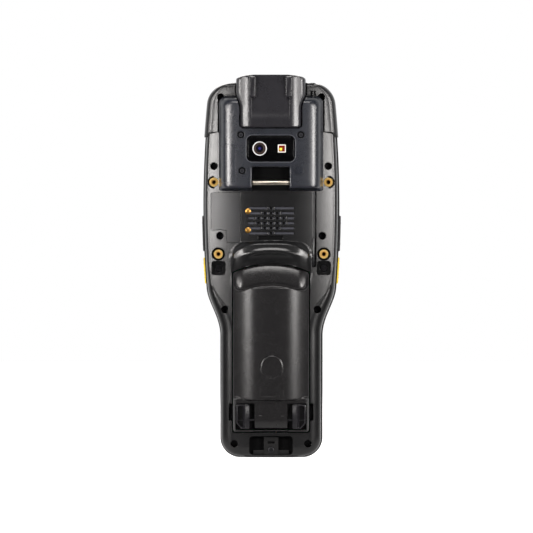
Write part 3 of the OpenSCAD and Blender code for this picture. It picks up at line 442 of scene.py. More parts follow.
def node_copy(node: str, name: str) -> Object:
    """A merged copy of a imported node's mesh, with flat facets joined.

    Args:
        node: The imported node.
        name: Name of the copy.

    Returns:
        The copy, in the scene.
    """
    mesh = frame["nodes"][node].data.copy()
    mesh.name = name
    mesh.materials.clear()
    work = bmesh.new()
    work.from_mesh(mesh)
    bmesh.ops.remove_doubles(work, verts=work.verts, dist=1e-6)
    bmesh.ops.dissolve_limit(work, angle_limit=math.radians(0.5), verts=work.verts, edges=work.edges)
    work.to_mesh(mesh)
    work.free()
    obj = bpy.data.objects.new(name, mesh)
    bpy.context.scene.collection.objects.link(obj)
    return obj


# ---------------------------------------------------------------- shader nodes


def new_node(
    tree: bpy.types.NodeTree, kind: str, settings: dict[str, object] | None, inputs: Sockets | None
) -> bpy.types.Node:
    """Adds a node to a tree.

    Args:
        tree: The tree.
        kind: The node's type.
        settings: Properties that are set first.
        inputs: Values or sockets by name or number.

    Returns:
        The node.
    """
    node = tree.nodes.new(kind)
    for key, item in (settings or {}).items():
        setattr(node, key, item)
    for key, item in (inputs or {}).items():
        socket = node.inputs[key]
        source = item.socket if isinstance(item, Value) else item
        if isinstance(source, Socket):
            tree.links.new(source, socket)
        elif socket.type == "RGBA" and len(source) == 3:
            socket.default_value = (*source, 1.0)
        else:
            socket.default_value = source
    return node


class Value:
    """A node's output socket that takes part in arithmetic."""

    def __init__(self, tree: bpy.types.NodeTree, socket: Socket) -> None:
        """Wraps one socket of a tree."""
        self.tree = tree
        self.socket = socket

    def math(self, operation: str, first: "Value | float", second: "Value | float" = 0.0) -> "Value":
        """Adds one Math node.

        Args:
            operation: The node's operation.
            first, second: What goes into its two sockets.

        Returns:
            The node's result.
        """
        node = new_node(self.tree, "ShaderNodeMath", {"operation": operation}, {0: first, 1: second})
        return Value(self.tree, node.outputs[0])

    def __add__(self, other: "Value | float") -> "Value":
        """self + other."""
        return self.math("ADD", self, other)

    def __radd__(self, other: float) -> "Value":
        """other + self."""
        return self.math("ADD", other, self)

    def __sub__(self, other: "Value | float") -> "Value":
        """self - other."""
        return self.math("SUBTRACT", self, other)

    def __rsub__(self, other: float) -> "Value":
        """other - self."""
        return self.math("SUBTRACT", other, self)

    def __mul__(self, other: "Value | float") -> "Value":
        """self * other."""
        return self.math("MULTIPLY", self, other)

    def __rmul__(self, other: float) -> "Value":
        """other * self."""
        return self.math("MULTIPLY", other, self)

    def __gt__(self, other: "Value | float") -> "Value":
        """1 where self is larger, otherwise 0."""
        return self.math("GREATER_THAN", self, other)

    def sibling(self, out: str | int) -> "Value":
        """Another output of the node that it comes from."""
        return Value(self.tree, self.socket.node.outputs[out])

    def limited(self) -> "Value":
        """The value held between 0 and 1."""
        result = self.math("ADD", self, 0.0)
        result.socket.node.use_clamp = True
        return result

    def __abs__(self) -> "Value":
        """Its size without the sign."""
        return self.math("ABSOLUTE", self)

    def sine(self) -> "Value":
        """Its sine."""
        return self.math("SINE", self)

    def power(self, exponent: float) -> "Value":
        """The value to a power."""
        return self.math("POWER", self, exponent)


class NodeBench:
    """Builds the nodes of one material or world."""

    def __init__(self, tree: bpy.types.NodeTree) -> None:
        """Empties the tree."""
        self.tree = tree
        tree.nodes.clear()

    def add(
        self, kind: str, settings: dict[str, object] | None = None, inputs: Sockets | None = None,
        out: str | int = 0
    ) -> Value:
        """Adds any node.

        Args:
            kind: The node's type.
            settings: Properties that are set first.
            inputs: Values or links by socket name or number.
            out: The output that is wanted.

        Returns:
            That output, ready for arithmetic.
        """
        node = new_node(self.tree, kind, settings, inputs)
        outputs = node.outputs
        return Value(self.tree, outputs[out]) if len(outputs) else Value(self.tree, node.inputs[0])

    def coords(self) -> Value:
        """Object coordinates, in metres."""
        return self.add("ShaderNodeTexCoord", out="Object")

    def split(self) -> Value:
        """X of the object coordinates; Y and Z are its siblings 1 and 2."""
        return self.add("ShaderNodeSeparateXYZ", None, {0: self.coords()})

    def bump(self, strength: float, depth: float, height: Value, **more: Value) -> Value:
        """Normal turned by a height whose full range is depth millimetres."""
        inputs = {"Strength": strength, "Distance": depth * MM, "Height": height, **more}
        return self.add("ShaderNodeBump", None, inputs)

    def noise(
        self, size: float, detail: float = 2.0, stretch: Point = (1.0, 1.0, 1.0), seed: float = 0.0
    ) -> Value:
        """Noise whose spots are about size millimetres across, centred on 0.5.

        Args:
            size: Size of a spot in millimetres.
            detail: How fine its details are.
            stretch: Scale along each axis.
            seed: Moves the pattern.

        Returns:
            The noise.
        """
        inputs: Sockets = {"Vector": self.coords(), "Location": (seed, seed * 0.7, -seed), "Scale": stretch}
        place = self.add("ShaderNodeMapping", {"vector_type": "POINT"}, inputs)
        inputs = {"Vector": place, "Scale": 1 / (size * MM), "Detail": detail, "Roughness": 0.55}
        return self.add("ShaderNodeTexNoise", {"noise_dimensions": "3D"}, inputs, "Fac")

    def mix(self, factor: Value | float, a: Value | Sequence[float], b: Value | Sequence[float]) -> Value:
        """Colour between a and b."""
        return self.add("ShaderNodeMix", {"data_type": "RGBA"}, {0: factor, 6: a, 7: b}, 2)


Colour = tuple[float, float, float]


def srgb(r: float, g: float, b: float) -> Colour:
    """Linear colour of 8-bit display values."""
    return tuple((c / 255 / 12.92) if c <= 10 else ((c / 255 + 0.055) / 1.055) ** 2.4 for c in (r, g, b))


def shade(colour: Colour, k: float) -> Colour:
    """The colour made lighter or darker by a factor."""
    return tuple(min(1.0, c * k) for c in colour)


MADE: dict[str, bpy.types.Material] = {}


@dataclass(frozen=True)
class Finish:
    """What every finish shares: a name and the shader's fixed settings."""

    name: str
    colour: Colour
    rough: float = 0.4
    metal: float = 0.0
    level: float = 0.5
    coat: float = 0.0
    coat_rough: float = 0.1

    def build(self) -> bpy.types.Material:
        """Makes the material once and returns it."""
        if self.name in MADE:
            return MADE[self.name]
        material = MADE[self.name] = bpy.data.materials.new("finish_" + self.name)
        material.use_nodes = True
        bench = NodeBench(material.node_tree)
        fixed: Sockets = {
            "Specular IOR Level": self.level, "Metallic": self.metal,
            "Coat Weight": self.coat, "Coat Roughness": self.coat_rough}
        shader = bench.add("ShaderNodeBsdfPrincipled", None, fixed | self.surface(bench))
        bench.add("ShaderNodeOutputMaterial", None, {"Surface": shader})
        material.diffuse_color = (*self.colour, 1.0)
        return material

    def between(self, bench: NodeBench, factor: Value, low: float, high: float) -> Value:
        """The colour between a darker and a lighter shade of itself."""
        return bench.mix(factor, shade(self.colour, low), shade(self.colour, high))

    def surface(self, bench: NodeBench) -> Sockets:
        """The sockets that vary over the surface."""
        tone = bench.noise(6.0, 3.0)
        base = self.between(bench, tone, 0.9, 1.1)
        return {"Base Color": base, "Roughness": self.rough + (tone - 0.5) * 0.08}


@dataclass(frozen=True)
class Moulded(Finish):
    """Injection-moulded plastic: spark-eroded grain, slight clouding, rubbed edges."""

    grain: float = 0.3
    grain_size: float = 0.35
    edge: float = 0.3
    worn: float = 0.35

    def surface(self, bench: NodeBench) -> Sockets:
        """Clouded colour, grain in the normal, lighter rubbed edges."""
        cloud = bench.noise(9.0, 3.0)
        fine = bench.noise(self.grain_size, 2.0, seed=3.0)
        rounded = bench.add("ShaderNodeBevel", {"samples": 4}, {"Radius": self.edge * MM})
        flat = bench.add("ShaderNodeNewGeometry", out="Normal")
        turn = bench.add("ShaderNodeVectorMath", {"operation": "DOT_PRODUCT"}, {0: rounded, 1: flat}, "Value")
        rub = ((1.0 - turn) * 5.0).limited() * bench.noise(1.6, 4.0, seed=7.0)
        base = self.between(bench, cloud, 0.86, 1.14)
        base = bench.mix((rub * self.worn).limited(), base, shade(self.colour, 2.6))
        bump = bench.bump(self.grain, 0.05, fine, Normal=rounded)
        rough = self.rough + (cloud - 0.5) * 0.05 + (fine - 0.5) * 0.05
        return {"Base Color": base, "Roughness": rough, "Normal": bump}


@dataclass(frozen=True)
class Rubber(Finish):
    """Silicone rubber: dull, with a faint orange-peel skin and dust in its pores."""

    def surface(self, bench: NodeBench) -> Sockets:
        """Soft skin with dust."""
        peel = bench.noise(0.6, 3.0)
        dust = bench.noise(3.0, 4.0, seed=5.0)
        base = bench.mix((dust - 0.45).limited() * 0.5, self.colour, shade(self.colour, 1.35))
        bump = bench.bump(0.2, 0.05, peel)
        return {"Base Color": base, "Roughness": self.rough + (dust - 0.5) * 0.15, "Normal": bump}


class Lay(Enum):
    """Direction of a metal's brush marks."""

    ALONG_X = (0.03, 1.0, 1.0)
    TURNED = (1.0, 1.0, 1.0)


@dataclass(frozen=True)
class Metal(Finish):
    """Machined or plated metal with tool marks and slight tarnish."""

    lay: Lay = Lay.TURNED
    marks: float = 0.25

    def surface(self, bench: NodeBench) -> Sockets:
        """Tarnished colour and marks along the lay."""
        line = bench.noise(0.25, 3.0, self.lay.value)
        spot = bench.noise(2.5, 4.0, seed=2.0)
        base = bench.mix((spot - 0.35).limited(), self.colour, shade(self.colour, 0.72))
        bump = bench.bump(self.marks, 0.03, line)
        return {"Base Color": base, "Roughness": self.rough + (line - 0.5) * 0.2, "Normal": bump}


@dataclass(frozen=True)
class Gloss(Finish):
    """Polished glass, lens or filter: nearly even, with a trace of smears."""

    def surface(self, bench: NodeBench) -> Sockets:
        """Smears that only touch the roughness."""
        smear = bench.noise(5.0, 5.0, (1.0, 1.0, 0.35))
        base = self.between(bench, smear, 0.9, 1.1)
        return {"Base Color": base, "Roughness": self.rough + (smear - 0.4).limited() * 0.12}


@dataclass(frozen=True)
class Circuit(Finish):
    """Solder-masked board with traces and pads."""

    def surface(self, bench: NodeBench) -> Sockets:
        """Traces as thin lines between cells, with gold pads."""
        kind = "ShaderNodeTexVoronoi"
        edges = {"feature": "DISTANCE_TO_EDGE", "voronoi_dimensions": "3D"}
        cells = bench.add(kind, edges, {"Vector": bench.coords(), "Scale": 420.0}, "Distance")
        pads = bench.add(kind, {"feature": "F1"}, {"Vector": bench.coords(), "Scale": 300.0}, "Distance")
        trace = 1.0 - (cells > 0.06)
        base = bench.mix(trace * 0.6, self.colour, shade(self.colour, 1.8))
        base = bench.mix(1.0 - (pads > 0.12), base, (0.75, 0.55, 0.22))
        bump = bench.bump(0.2, 0.04, trace)
        return {"Base Color": base, "Roughness": self.rough + trace * 0.1, "Normal": bump}


@dataclass(frozen=True)
class Screen(Finish):
    """Switched-off display: dark, with the faint grid of its pixels."""

    pitch: float = 0.4

    def surface(self, bench: NodeBench) -> Sockets:
        """Pixel grid in the colour."""
        across = bench.split()
        along = across.sibling(2)
        turn = math.pi / (self.pitch * MM)
        grid = (abs((across * turn).sine()) * abs((along * turn).sine())).power(0.35)
        base = bench.mix(grid, shade(self.colour, 0.5), self.colour)
        return {"Base Color": base, "Roughness": self.rough + grid * 0.05}


@dataclass(frozen=True)
class Sleeve(Finish):
    """Plastic sleeve shrunk over the battery cells, with faint wrinkles."""

    def surface(self, bench: NodeBench) -> Sockets:
        """Wrinkles in the normal."""
        wrinkle = bench.noise(4.0, 4.0, (0.25, 1.0, 1.0))
        tone = bench.noise(8.0)
        bump = bench.bump(0.35, 0.3, wrinkle)
        base = self.between(bench, tone, 0.8, 1.2)
        return {"Base Color": base, "Roughness": self.rough + (wrinkle - 0.5) * 0.1, "Normal": bump}


FINISHES: dict[str, Finish] = {finish.name: finish for finish in (
    Moulded("front_plastic", srgb(24, 24, 26), 0.3, level=0.5, grain=0.4),
    Moulded("rear_plastic", srgb(22, 22, 23), 0.235, level=0.5, grain=0.2, grain_size=0.3),
    Moulded("bumper_plastic", srgb(26, 26, 28), 0.28, level=0.68, grain=0.3, grain_size=0.25),
    Moulded("cover_plastic", srgb(28, 31, 39), 0.28, level=0.78, grain=0.15, grain_size=0.3),
    Moulded("hood_plastic", srgb(26, 25, 30), 0.28, level=0.78, grain=0.2, grain_size=0.3),
    Moulded("battery_plastic", srgb(24, 23, 24), 0.265, level=0.6, grain=0.4, grain_size=0.3),
    Moulded("latch_plastic", srgb(25, 24, 28), 0.24, level=0.55),
    Moulded("dark_plastic", srgb(18, 18, 20), 0.4, level=0.45),
    Rubber("key_rubber", srgb(48, 49, 54), 0.55, level=0.4),
    Rubber("side_rubber", srgb(32, 32, 35), 0.55, level=0.4),
    Rubber("yellow_rubber", srgb(250, 214, 8), 0.45, level=0.4),
    Rubber("seal_rubber", srgb(16, 16, 17), 0.7, level=0.3),
    Gloss("black_glass", srgb(5, 5, 6), 0.06, level=0.45),
    Gloss("red_filter", srgb(96, 10, 18), 0.06, level=0.5, coat=0.4),
    Screen("screen", srgb(26, 30, 38), 0.2, level=0.4),
    Metal("white_metal", srgb(226, 226, 228), 0.4, metal=0.35),
    Finish("white_plastic", srgb(238, 236, 230), 0.35),
    Metal("bar_steel", srgb(226, 216, 200), 0.3, metal=1.0, lay=Lay.ALONG_X),
    Metal("black_steel", srgb(40, 40, 43), 0.35, metal=0.6),
    Metal("screw_steel", srgb(60, 61, 66), 0.38, metal=0.5),
    # Darker than the housing's plastic: painted shade of the bottom recess, on the strap anchor.
    Finish("recess_plastic", srgb(14, 14, 15), 0.6, level=0.25),
    Metal("engine_metal", srgb(60, 61, 66), 0.4, metal=0.8),
    Metal("tin", srgb(205, 207, 210), 0.3, metal=1.0),
    Sleeve("cell_case", srgb(44, 45, 50), 0.35),
    Circuit("board", srgb(22, 92, 58), 0.35),
    Metal("brass", srgb(246, 206, 124), 0.42, metal=1.0),
    Metal("gold", srgb(214, 162, 84), 0.32, metal=1.0),
    Moulded("label_film", srgb(26, 26, 29), 0.3, level=0.5, grain=0.1, worn=0.0),
    Moulded("clear_film", srgb(30, 33, 41), 0.26, level=0.75, grain=0.06, worn=0.0),
    Gloss("lens_glass", srgb(14, 14, 22), 0.03, level=0.7, coat=0.6, coat_rough=0.02),
    Gloss("lens_iris", srgb(40, 36, 104), 0.1),
    Metal("lens_tube", srgb(46, 30, 22), 0.35, metal=0.3),
    # Light grey band round the camera window: painted highlight of its rim's bevel.
    Moulded("painted_highlight_rim", srgb(94, 96, 102), 0.3, grain=0.1, worn=0.0),
    Gloss("lamp_red", srgb(104, 26, 16), 0.2),
    Gloss("lamp_yellow", srgb(250, 226, 70), 0.2),
    Finish("key_print", srgb(226, 228, 230), 0.5),
    Moulded("grille_strip", srgb(52, 53, 62), 0.45, grain=0.2, worn=0.0),
    Finish("black_print", srgb(30, 28, 20), 0.5),
    # Painted shade: near-black plates set into holes, slits, seats and recesses that are only in shadow.
    Finish("painted_shade_black", srgb(8, 8, 9), 0.8, level=0.1),
)}


def record_slot(node: str) -> str:
    """The record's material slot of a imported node."""
    return next(part["material_slot"] for part in frame["record"]["subparts"] if part["node"] == node)


def body_of(node: str) -> str:
    """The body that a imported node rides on."""
    return next(body for body, nodes in frame["record"]["behaviour"]["bodies"].items() if node in nodes)


def finish_piece(obj: Object, node: str, finish: str | None = None, replace: bool = True) -> Object:
    """Gives a piece its finish and puts it on the body of a node.

    Args:
        obj: The finished mesh.
        node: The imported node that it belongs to.
        finish: Its finish, or None for the finish of the node's slot.
        replace: Whether the piece stands for the node.

    Returns:
        The same object.
    """
    slot = record_slot(node)
    obj.data.materials.clear()
    obj.data.materials.append(FINISHES[finish or slot].build())
    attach(obj, body_of(node))
    if replace:
        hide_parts(node)
    LOG.info("%s: %d faces on %s", obj.name, len(obj.data.polygons), body_of(node))
    return obj


def make_piece(
    name: str, shape: Shape, node: str, finish: str | None = None, replace: bool = True, angle: float = 32.0
) -> None:
    """Makes a smooth-shaded piece straight from a shape.

    Args:
        name: The piece's name.
        shape: Its form.
        node, finish, replace: As in finish_piece.
        angle: Edges sharper than this stay sharp.
    """
    obj = as_object(name, shape)
    smooth(obj, angle)
    finish_piece(obj, node, finish, replace)


# ---------------------------------------------------------------- form of the body


@dataclass(frozen=True)
class Form:
    """Outline and planes that the housings, bumper and keys share."""

    total: float = 218.0
    head_w: float = 77.8
    grip_w: float = 58.4
    corner: float = 11.3
    head_corner: float = 11.2
    side_r: float = 600.0
    crown_r: float = 160.0
    head_top: float = 213.7
    body_top: float = 213.1
    shoulder: float = 201.9
    widest: float = 143.7
    waist_low: float = 69.5
    waist_high: float = 96.5
    bumper_z: float = 182.7
    key_top: float = -19.5
    face: float = -18.6
    parting: float = -6.6
    back: float = 6.4
    cover: float = 15.4
    hood: float = 18.0
    rib: float = 19.5
    inset: float = 0.8
    tail: float = 6.0

    def head_half(self, z: float) -> float:
        """Half width of the bowed head."""
        return self.head_w / 2 - sag(self.side_r, z - self.widest)

    def half(self, z: float, d: float = 0.0) -> float:
        """Half width of the body at height z, inset by d.

        Args:
            z: The height.
            d: The inset.

        Returns:
            Half the width.
        """
        if z < self.corner:
            return self.grip_w / 2 - self.corner + math.sqrt(
                max(0.0, (self.corner - d) ** 2 - (self.corner - z) ** 2))
        if z > self.shoulder:
            return self.head_half(z) - self.head_corner + math.sqrt(
                max(0.0, (self.head_corner - d) ** 2 - (z - self.shoulder) ** 2))
        t = ease((z - self.waist_low) / (self.waist_high - self.waist_low))
        return self.grip_w / 2 * (1 - t) + self.head_half(z) * t - d

    def heights(self, low: float, high: float, spacing: float = 1.6) -> list[float]:
        """Heights of the body's sections, closer together round the corners."""
        foot = [self.corner - (self.corner - low) * cosd(a) for a in range(0, 90, 6)]
        top = [self.shoulder + (self.head_corner - high) * sind(a) for a in range(0, 91, 6)]
        n = round((self.shoulder - self.corner) / spacing)
        return foot + steps(self.corner, self.shoulder, n)[:-1] + top

    def crown(self, x: float) -> float:
        """Height of the crowned back at x."""
        return self.back - sag(self.crown_r, x)


FORM = Form()
CASE_SCREWS: tuple[Flat, ...] = (
    (28.65, 205.5), (32.6, 166.2), (29.2, 126.4), (30.0, 108.0), (26.4, 84.4), (21.0, 7.9))
COVER_SCREWS: tuple[Flat, ...] = ((17.1, 183.8), (16.4, 163.4))
INSERTS: tuple[Flat, ...] = ((32.65, 157.0), (30.1, 116.0))
SCREW_BORE = 2.15
STYLUS_X, STYLUS_Y, STYLUS_Z = -23.9, 3.005, 108.7
LUG_Y, LUG_Z = 3.8, 111.5
BAR_Y, BAR_Z = 11.2, 156.6
CONTACT_X, CONTACT_GAP, GRILLE_Z = 13.1, 10.8, 135.0


def loft_points(
    half: float, z: float, base: float, top: Callable[[float], float], rx: float, ry: float, n: int = 44
) -> list[Point]:
    """One section of a back shell: open side at base, rounded edges, crowned top.

    Args:
        half: Half width.
        z: Height of the section.
        base: Depth of the flat side.
        top: Depth of the crowned side at a given x.
        rx, ry: Radii of the rounded edge across and in depth.
        n: Points across the crown.

    Returns:
        The section's points.
    """
    rx = min(rx, half * 0.9)
    c = half - rx
    ring: list[Point] = [(half, base, z), (half, (base + top(c) - ry) / 2, z)]
    arc = [(rx * cosd(a), ry * (sind(a) - 1)) for a in steps(0, 90, 12)]
    ring += [(c + p, top(c) + q, z) for p, q in arc]
    ring += [(x, top(x), z) for x in steps(c, -c, n)[1:-1]]
    ring += [(-c - p, top(-c) + q, z) for p, q in reversed(arc)]
    ring += [(-half, (base + top(-c) - ry) / 2, z), (-half, base, z)]
    return ring


# ---------------------------------------------------------------- geometry nodes


class Field:
    """A geometry node tree that sets one small form on many points."""

    def __init__(self, name: str, inputs: dict[str, float]) -> None:
        """Starts the tree with named inputs for its sizes.

        Args:
            name: The tree's name.
            inputs: Name and default of each size, in metres or as a count.
        """
        self.tree = bpy.data.node_groups.new(name, "GeometryNodeTree")
        face = self.tree.interface
        face.new_socket("Geometry", in_out="INPUT", socket_type="NodeSocketGeometry")
        self.ids: dict[str, str] = {}
        for key, value in inputs.items():
            kind = "NodeSocketInt" if isinstance(value, int) else "NodeSocketFloat"
            socket = face.new_socket(key, in_out="INPUT", socket_type=kind)
            socket.default_value = value
            self.ids[key] = socket.identifier
        paint = face.new_socket("Material", in_out="INPUT", socket_type="NodeSocketMaterial")
        self.ids["Material"] = paint.identifier
        face.new_socket("Geometry", in_out="OUTPUT", socket_type="NodeSocketGeometry")
        self.entry = self.tree.nodes.new("NodeGroupInput")
        self.exit = self.tree.nodes.new("NodeGroupOutput")

    def node(
        self, kind: str, settings: dict[str, object] | None = None, inputs: Sockets | None = None,
        out: str | int = 0
    ) -> Socket:
        """Adds a node and returns one of its outputs.

        Args:
            kind: The node's type.
            settings: Properties that are set first.
            inputs: Values or sockets by name or number.
            out: The output that is wanted.

        Returns:
            That output socket.
        """
        return new_node(self.tree, kind, settings, inputs).outputs[out]

    def size(self, name: str) -> Socket:
        """The input socket of a named size."""
        return self.entry.outputs[name]

    def share(self, name: str, part: float) -> Socket:
        """A part of a named size."""
        return self.maths("MULTIPLY", self.size(name), part)

    def rod(self, vertices: int | Socket, radius: Socket, depth: Socket, **more: int) -> Socket:
        """Cylinder along Z about zero."""
        sizes = {"Vertices": vertices, "Radius": radius, "Depth": depth}
        more_sizes = {key.replace("_", " "): item for key, item in more.items()}
        return self.node("GeometryNodeMeshCylinder", {"fill_type": "NGON"}, sizes | more_sizes)

    def cone(self, vertices: int, top: Socket, bottom: Socket, depth: Socket) -> Socket:
        """Cone along Z from zero up."""
        sizes = {"Vertices": vertices, "Radius Top": top, "Radius Bottom": bottom, "Depth": depth}
        return self.node("GeometryNodeMeshCone", {"fill_type": "NGON"}, sizes)

    def moved(self, form: Socket, axis: int, way: Socket | float, **more: object) -> Socket:
        """The form shifted along one axis."""
        shift = self.node("ShaderNodeCombineXYZ", None, {axis: way})
        return self.node("GeometryNodeTransform", None, {"Geometry": form, "Translation": shift, **more})

    def laid(self, form: Socket, y: Socket | float = 0.0) -> Socket:
        """A form that stands along Z, laid down along +Y and shifted by y."""
        return self.moved(form, 1, y, Rotation=(-math.pi / 2, 0.0, 0.0))

    def merged(self, operation: str, forms: dict[int, Socket], also: Sequence[Socket]) -> Socket:
        """A mesh boolean of forms by input number, with more forms on its second input."""
        out = self.node("GeometryNodeMeshBoolean", {"operation": operation}, forms, "Mesh")
        for form in also:
            self.tree.links.new(form, out.node.inputs[1])
        return out

    def maths(self, operation: str, a: Socket | float, b: Socket | float = 0.0) -> Socket:
        """One Math node."""
        return self.node("ShaderNodeMath", {"operation": operation}, {0: a, 1: b})

    def close(self, form: Socket) -> None:
        """Sets the form on every point, realizes it and gives it its material."""
        spread = self.node(
            "GeometryNodeInstanceOnPoints", None, {"Points": self.entry.outputs["Geometry"], "Instance": form})
        solid = self.node("GeometryNodeRealizeInstances", None, {"Geometry": spread})
        painted = self.node(
            "GeometryNodeSetMaterial", None, {"Geometry": solid, "Material": self.entry.outputs["Material"]})
        self.tree.links.new(painted, self.exit.inputs[0])

    def spread(self, name: str, points: Sequence[Point], finish: str, **sizes: float) -> Object:
        """Makes a plain mesh of the form on each point.

        Args:
            name: The piece's name.
            points: Places in millimetres.
            finish: The finish of the form.
            **sizes: Values of the tree's inputs, with _ for a space.

        Returns:
            The piece, with the modifier removed.
        """
        mesh = bpy.data.meshes.new(name)
        mesh.from_pydata([(p[0] * MM, p[1] * MM, p[2] * MM) for p in points], [], [])
        obj = bpy.data.objects.new(name, mesh)
        bpy.context.scene.collection.objects.link(obj)
        modifier = obj.modifiers.new("field", "NODES")
        modifier.node_group = self.tree
        modifier[self.ids["Material"]] = FINISHES[finish].build()
        for key, value in sizes.items():
            modifier[self.ids[key.replace("_", " ")]] = value
        settle_modifiers(obj)
        return obj


def screw_field() -> Field:
    """Pan-head screws with a six-lobed recess, heads facing +Y, their top on the point."""
    sizes = {"Head Radius": 0.0019, "Head Height": 0.0016, "Shank Radius": 0.00095, "Shank Length": 0.008}
    f = Field("screw_field", sizes | {"Lobes": 6})
    high = f.size("Head Height")
    head = f.laid(f.rod(40, f.size("Head Radius"), high), f.share("Head Height", -0.5))
    dome = f.cone(40, f.share("Head Radius", 0.86), f.share("Head Radius", 0.999), f.share("Head Height", 0.18))
    dome = f.laid(dome, f.share("Head Height", -0.18))
    middle = f.maths("SUBTRACT", f.share("Head Height", -0.9), f.share("Shank Length", 0.5))
    shank = f.laid(f.rod(24, f.size("Shank Radius"), f.size("Shank Length")), middle)
    head = f.moved(head, 1, f.share("Head Height", -0.18), Scale=(1.0, 0.82, 1.0))
    body = f.merged("UNION", {1: head}, (dome, shank))
    ring = f.node(
        "GeometryNodeMeshCircle", None, {"Vertices": f.size("Lobes"), "Radius": f.share("Head Radius", 0.36)})
    lobe = f.rod(12, f.share("Head Radius", 0.17), high)
    lobes = f.node("GeometryNodeInstanceOnPoints", None, {"Points": ring, "Instance": lobe})
    drive = f.laid(f.node("GeometryNodeRealizeInstances", None, {"Geometry": lobes}))
    drill = f.laid(f.rod(24, f.share("Head Radius", 0.37), high))
    f.close(f.merged("DIFFERENCE", {0: body, 1: drill}, (drive,)))
    return f


def insert_field() -> Field:
    """Knurled threaded inserts with a bore, facing +Y, their top on the point."""
    f = Field("insert_field", {"Outer Radius": 0.0026, "Bore Radius": 0.00125, "Length": 0.006, "Teeth": 36})
    body = f.rod(f.share("Teeth", 2.0), f.size("Outer Radius"), f.size("Length"), Side_Segments=6)
    odd = f.maths("MODULO", f.node("GeometryNodeInputIndex"), 2.0)
    place = f.node("GeometryNodeInputPosition")
    up = f.node("ShaderNodeSeparateXYZ", None, {0: place}, 2)
    rim = f.maths("GREATER_THAN", f.maths("ABSOLUTE", up), f.share("Length", 0.42))
    worked = f.maths("ADD", f.maths("MULTIPLY", odd, 0.035), f.maths("MULTIPLY", rim, 0.02))
    shrink = f.maths("SUBTRACT", 1.0, worked)
    factors = f.node("ShaderNodeCombineXYZ", None, {0: shrink, 1: shrink, 2: 1.0})
    drawn_in = f.node("ShaderNodeVectorMath", {"operation": "MULTIPLY"}, {0: place, 1: factors})
    knurled = f.node("GeometryNodeSetPosition", None, {"Geometry": body, "Position": drawn_in})
    bore = f.rod(32, f.size("Bore Radius"), f.share("Length", 1.2))
    mouth = f.cone(32, f.share("Bore Radius", 1.45), f.share("Bore Radius", 0.9), f.share("Length", 0.12))
    mouth = f.moved(mouth, 2, f.share("Length", 0.39))
    cut = f.merged("DIFFERENCE", {0: knurled, 1: bore}, (mouth,))
    f.close(f.laid(cut, f.share("Length", -0.5)))
    return f


def rib_field() -> Field:
    """Small round ribs, along Z and turned about X, on points in their middle."""
    f = Field("rib_field", {"Radius": 0.0004, "Length": 0.005, "Turn": math.pi / 2})
    bar = f.rod(16, f.size("Radius"), f.size("Length"))
    turn = f.node("ShaderNodeCombineXYZ", None, {0: f.size("Turn")})
    f.close(f.node("GeometryNodeTransform", None, {"Geometry": bar, "Rotation": turn}))
    return f


# ---------------------------------------------------------------- bumper zone shared by the shells


def bumper_side(g: float) -> Shape:
    """The bumper's extent from the side, grown by g, across the whole width."""
    f = FORM
    z = f.bumper_z
    front = f.face + 4 - g
    low = [(front, z - g), (f.back - 6, z - g), (f.back - 3, z + 3 - g), (f.back + 3, z + 3.6 - g)]
    return prism_x([*low, (f.back + 3, f.total), (front, f.total)], -40, 40)


def body_core(d: float, low: float) -> Shape:
    """The body inset by d, from height low to its top, as the bumper's inner form."""
    f = FORM
    zs = [low] + [z for z in f.heights(d, d) if z > low + 0.5]
    return skin([loft_points(f.half(z, d), z, f.face - 1, lambda x: f.crown(x) - d, 4.5, 4.5) for z in zs])


def cover_gap(g: float, tall: float = 8.0) -> list[Shape]:
    """The spaces that the bumper leaves free for the module cover and the hood.

    Args:
        g: How much wider the gap is.
        tall: How far it reaches over the back.

    Returns:
        The spaces, ready to be cut.
    """
    f = FORM
    half = 29.7 + 0.15 - g
    nose = 19.8 + 0.15 - g
    top = 206.3 - g
    r = 4.0
    outline = [(-half, f.bumper_z - 3), (half, f.bumper_z - 3)]
    outline += [(half - r + r * cosd(a), top - r + r * sind(a)) for a in range(0, 91, 15)]
    outline += [(-half + r - r * sind(a), top - r + r * cosd(a)) for a in range(0, 91, 15)]
    return [
        prism(outline, f.back - 6, f.back + tall),
        block((-nose, 1.25 + g, f.bumper_z), (nose, f.rib + 1, f.total + 1))]


def bumper_zone(g: float) -> Object:
    """Everything that the bumper with clearance g takes from the housings."""
    zone = as_object("zone", bumper_side(g))
    work_on(zone, [body_core(1.6 + g, FORM.bumper_z - 2), *cover_gap(g)])
    return zone


# ---------------------------------------------------------------- rear housing


@dataclass(frozen=True)
class BatteryBay:
    """Outline of the pack and its bay."""

    width: float = 44.0
    foot: float = 14.4
    top: float = 110.4
    arch_r: float = 51.6

    @property
    def arch_z(self) -> float:
        """Height of the arch's centre."""
        return self.top - self.arch_r

    def top_at(self, x: float, d: float = 0.0) -> float:
        """Height of the arched edge at x, grown by d."""
        return self.arch_z + math.sqrt(max(0.0, (self.arch_r + d) ** 2 - x * x))

    def outline(self, d: float, corner: float = 1.6, n: int = 24) -> list[Flat]:
        """The outline grown by d, with rounded bottom corners.

        Args:
            d: How far it is grown.
            corner: Radius of the bottom corners.
            n: Steps of the arched top.

        Returns:
            The outline.
        """
        half = self.width / 2 + d
        low = self.foot - d + corner
        out = [(corner - half + corner * cosd(a), low + corner * sind(a)) for a in range(180, 271, 15)]
        out += [(half - corner + corner * cosd(a), low + corner * sind(a)) for a in range(270, 361, 15)]
        return out + [(x, self.top_at(x, d)) for x in steps(half, -half, n)]


BAY = BatteryBay()


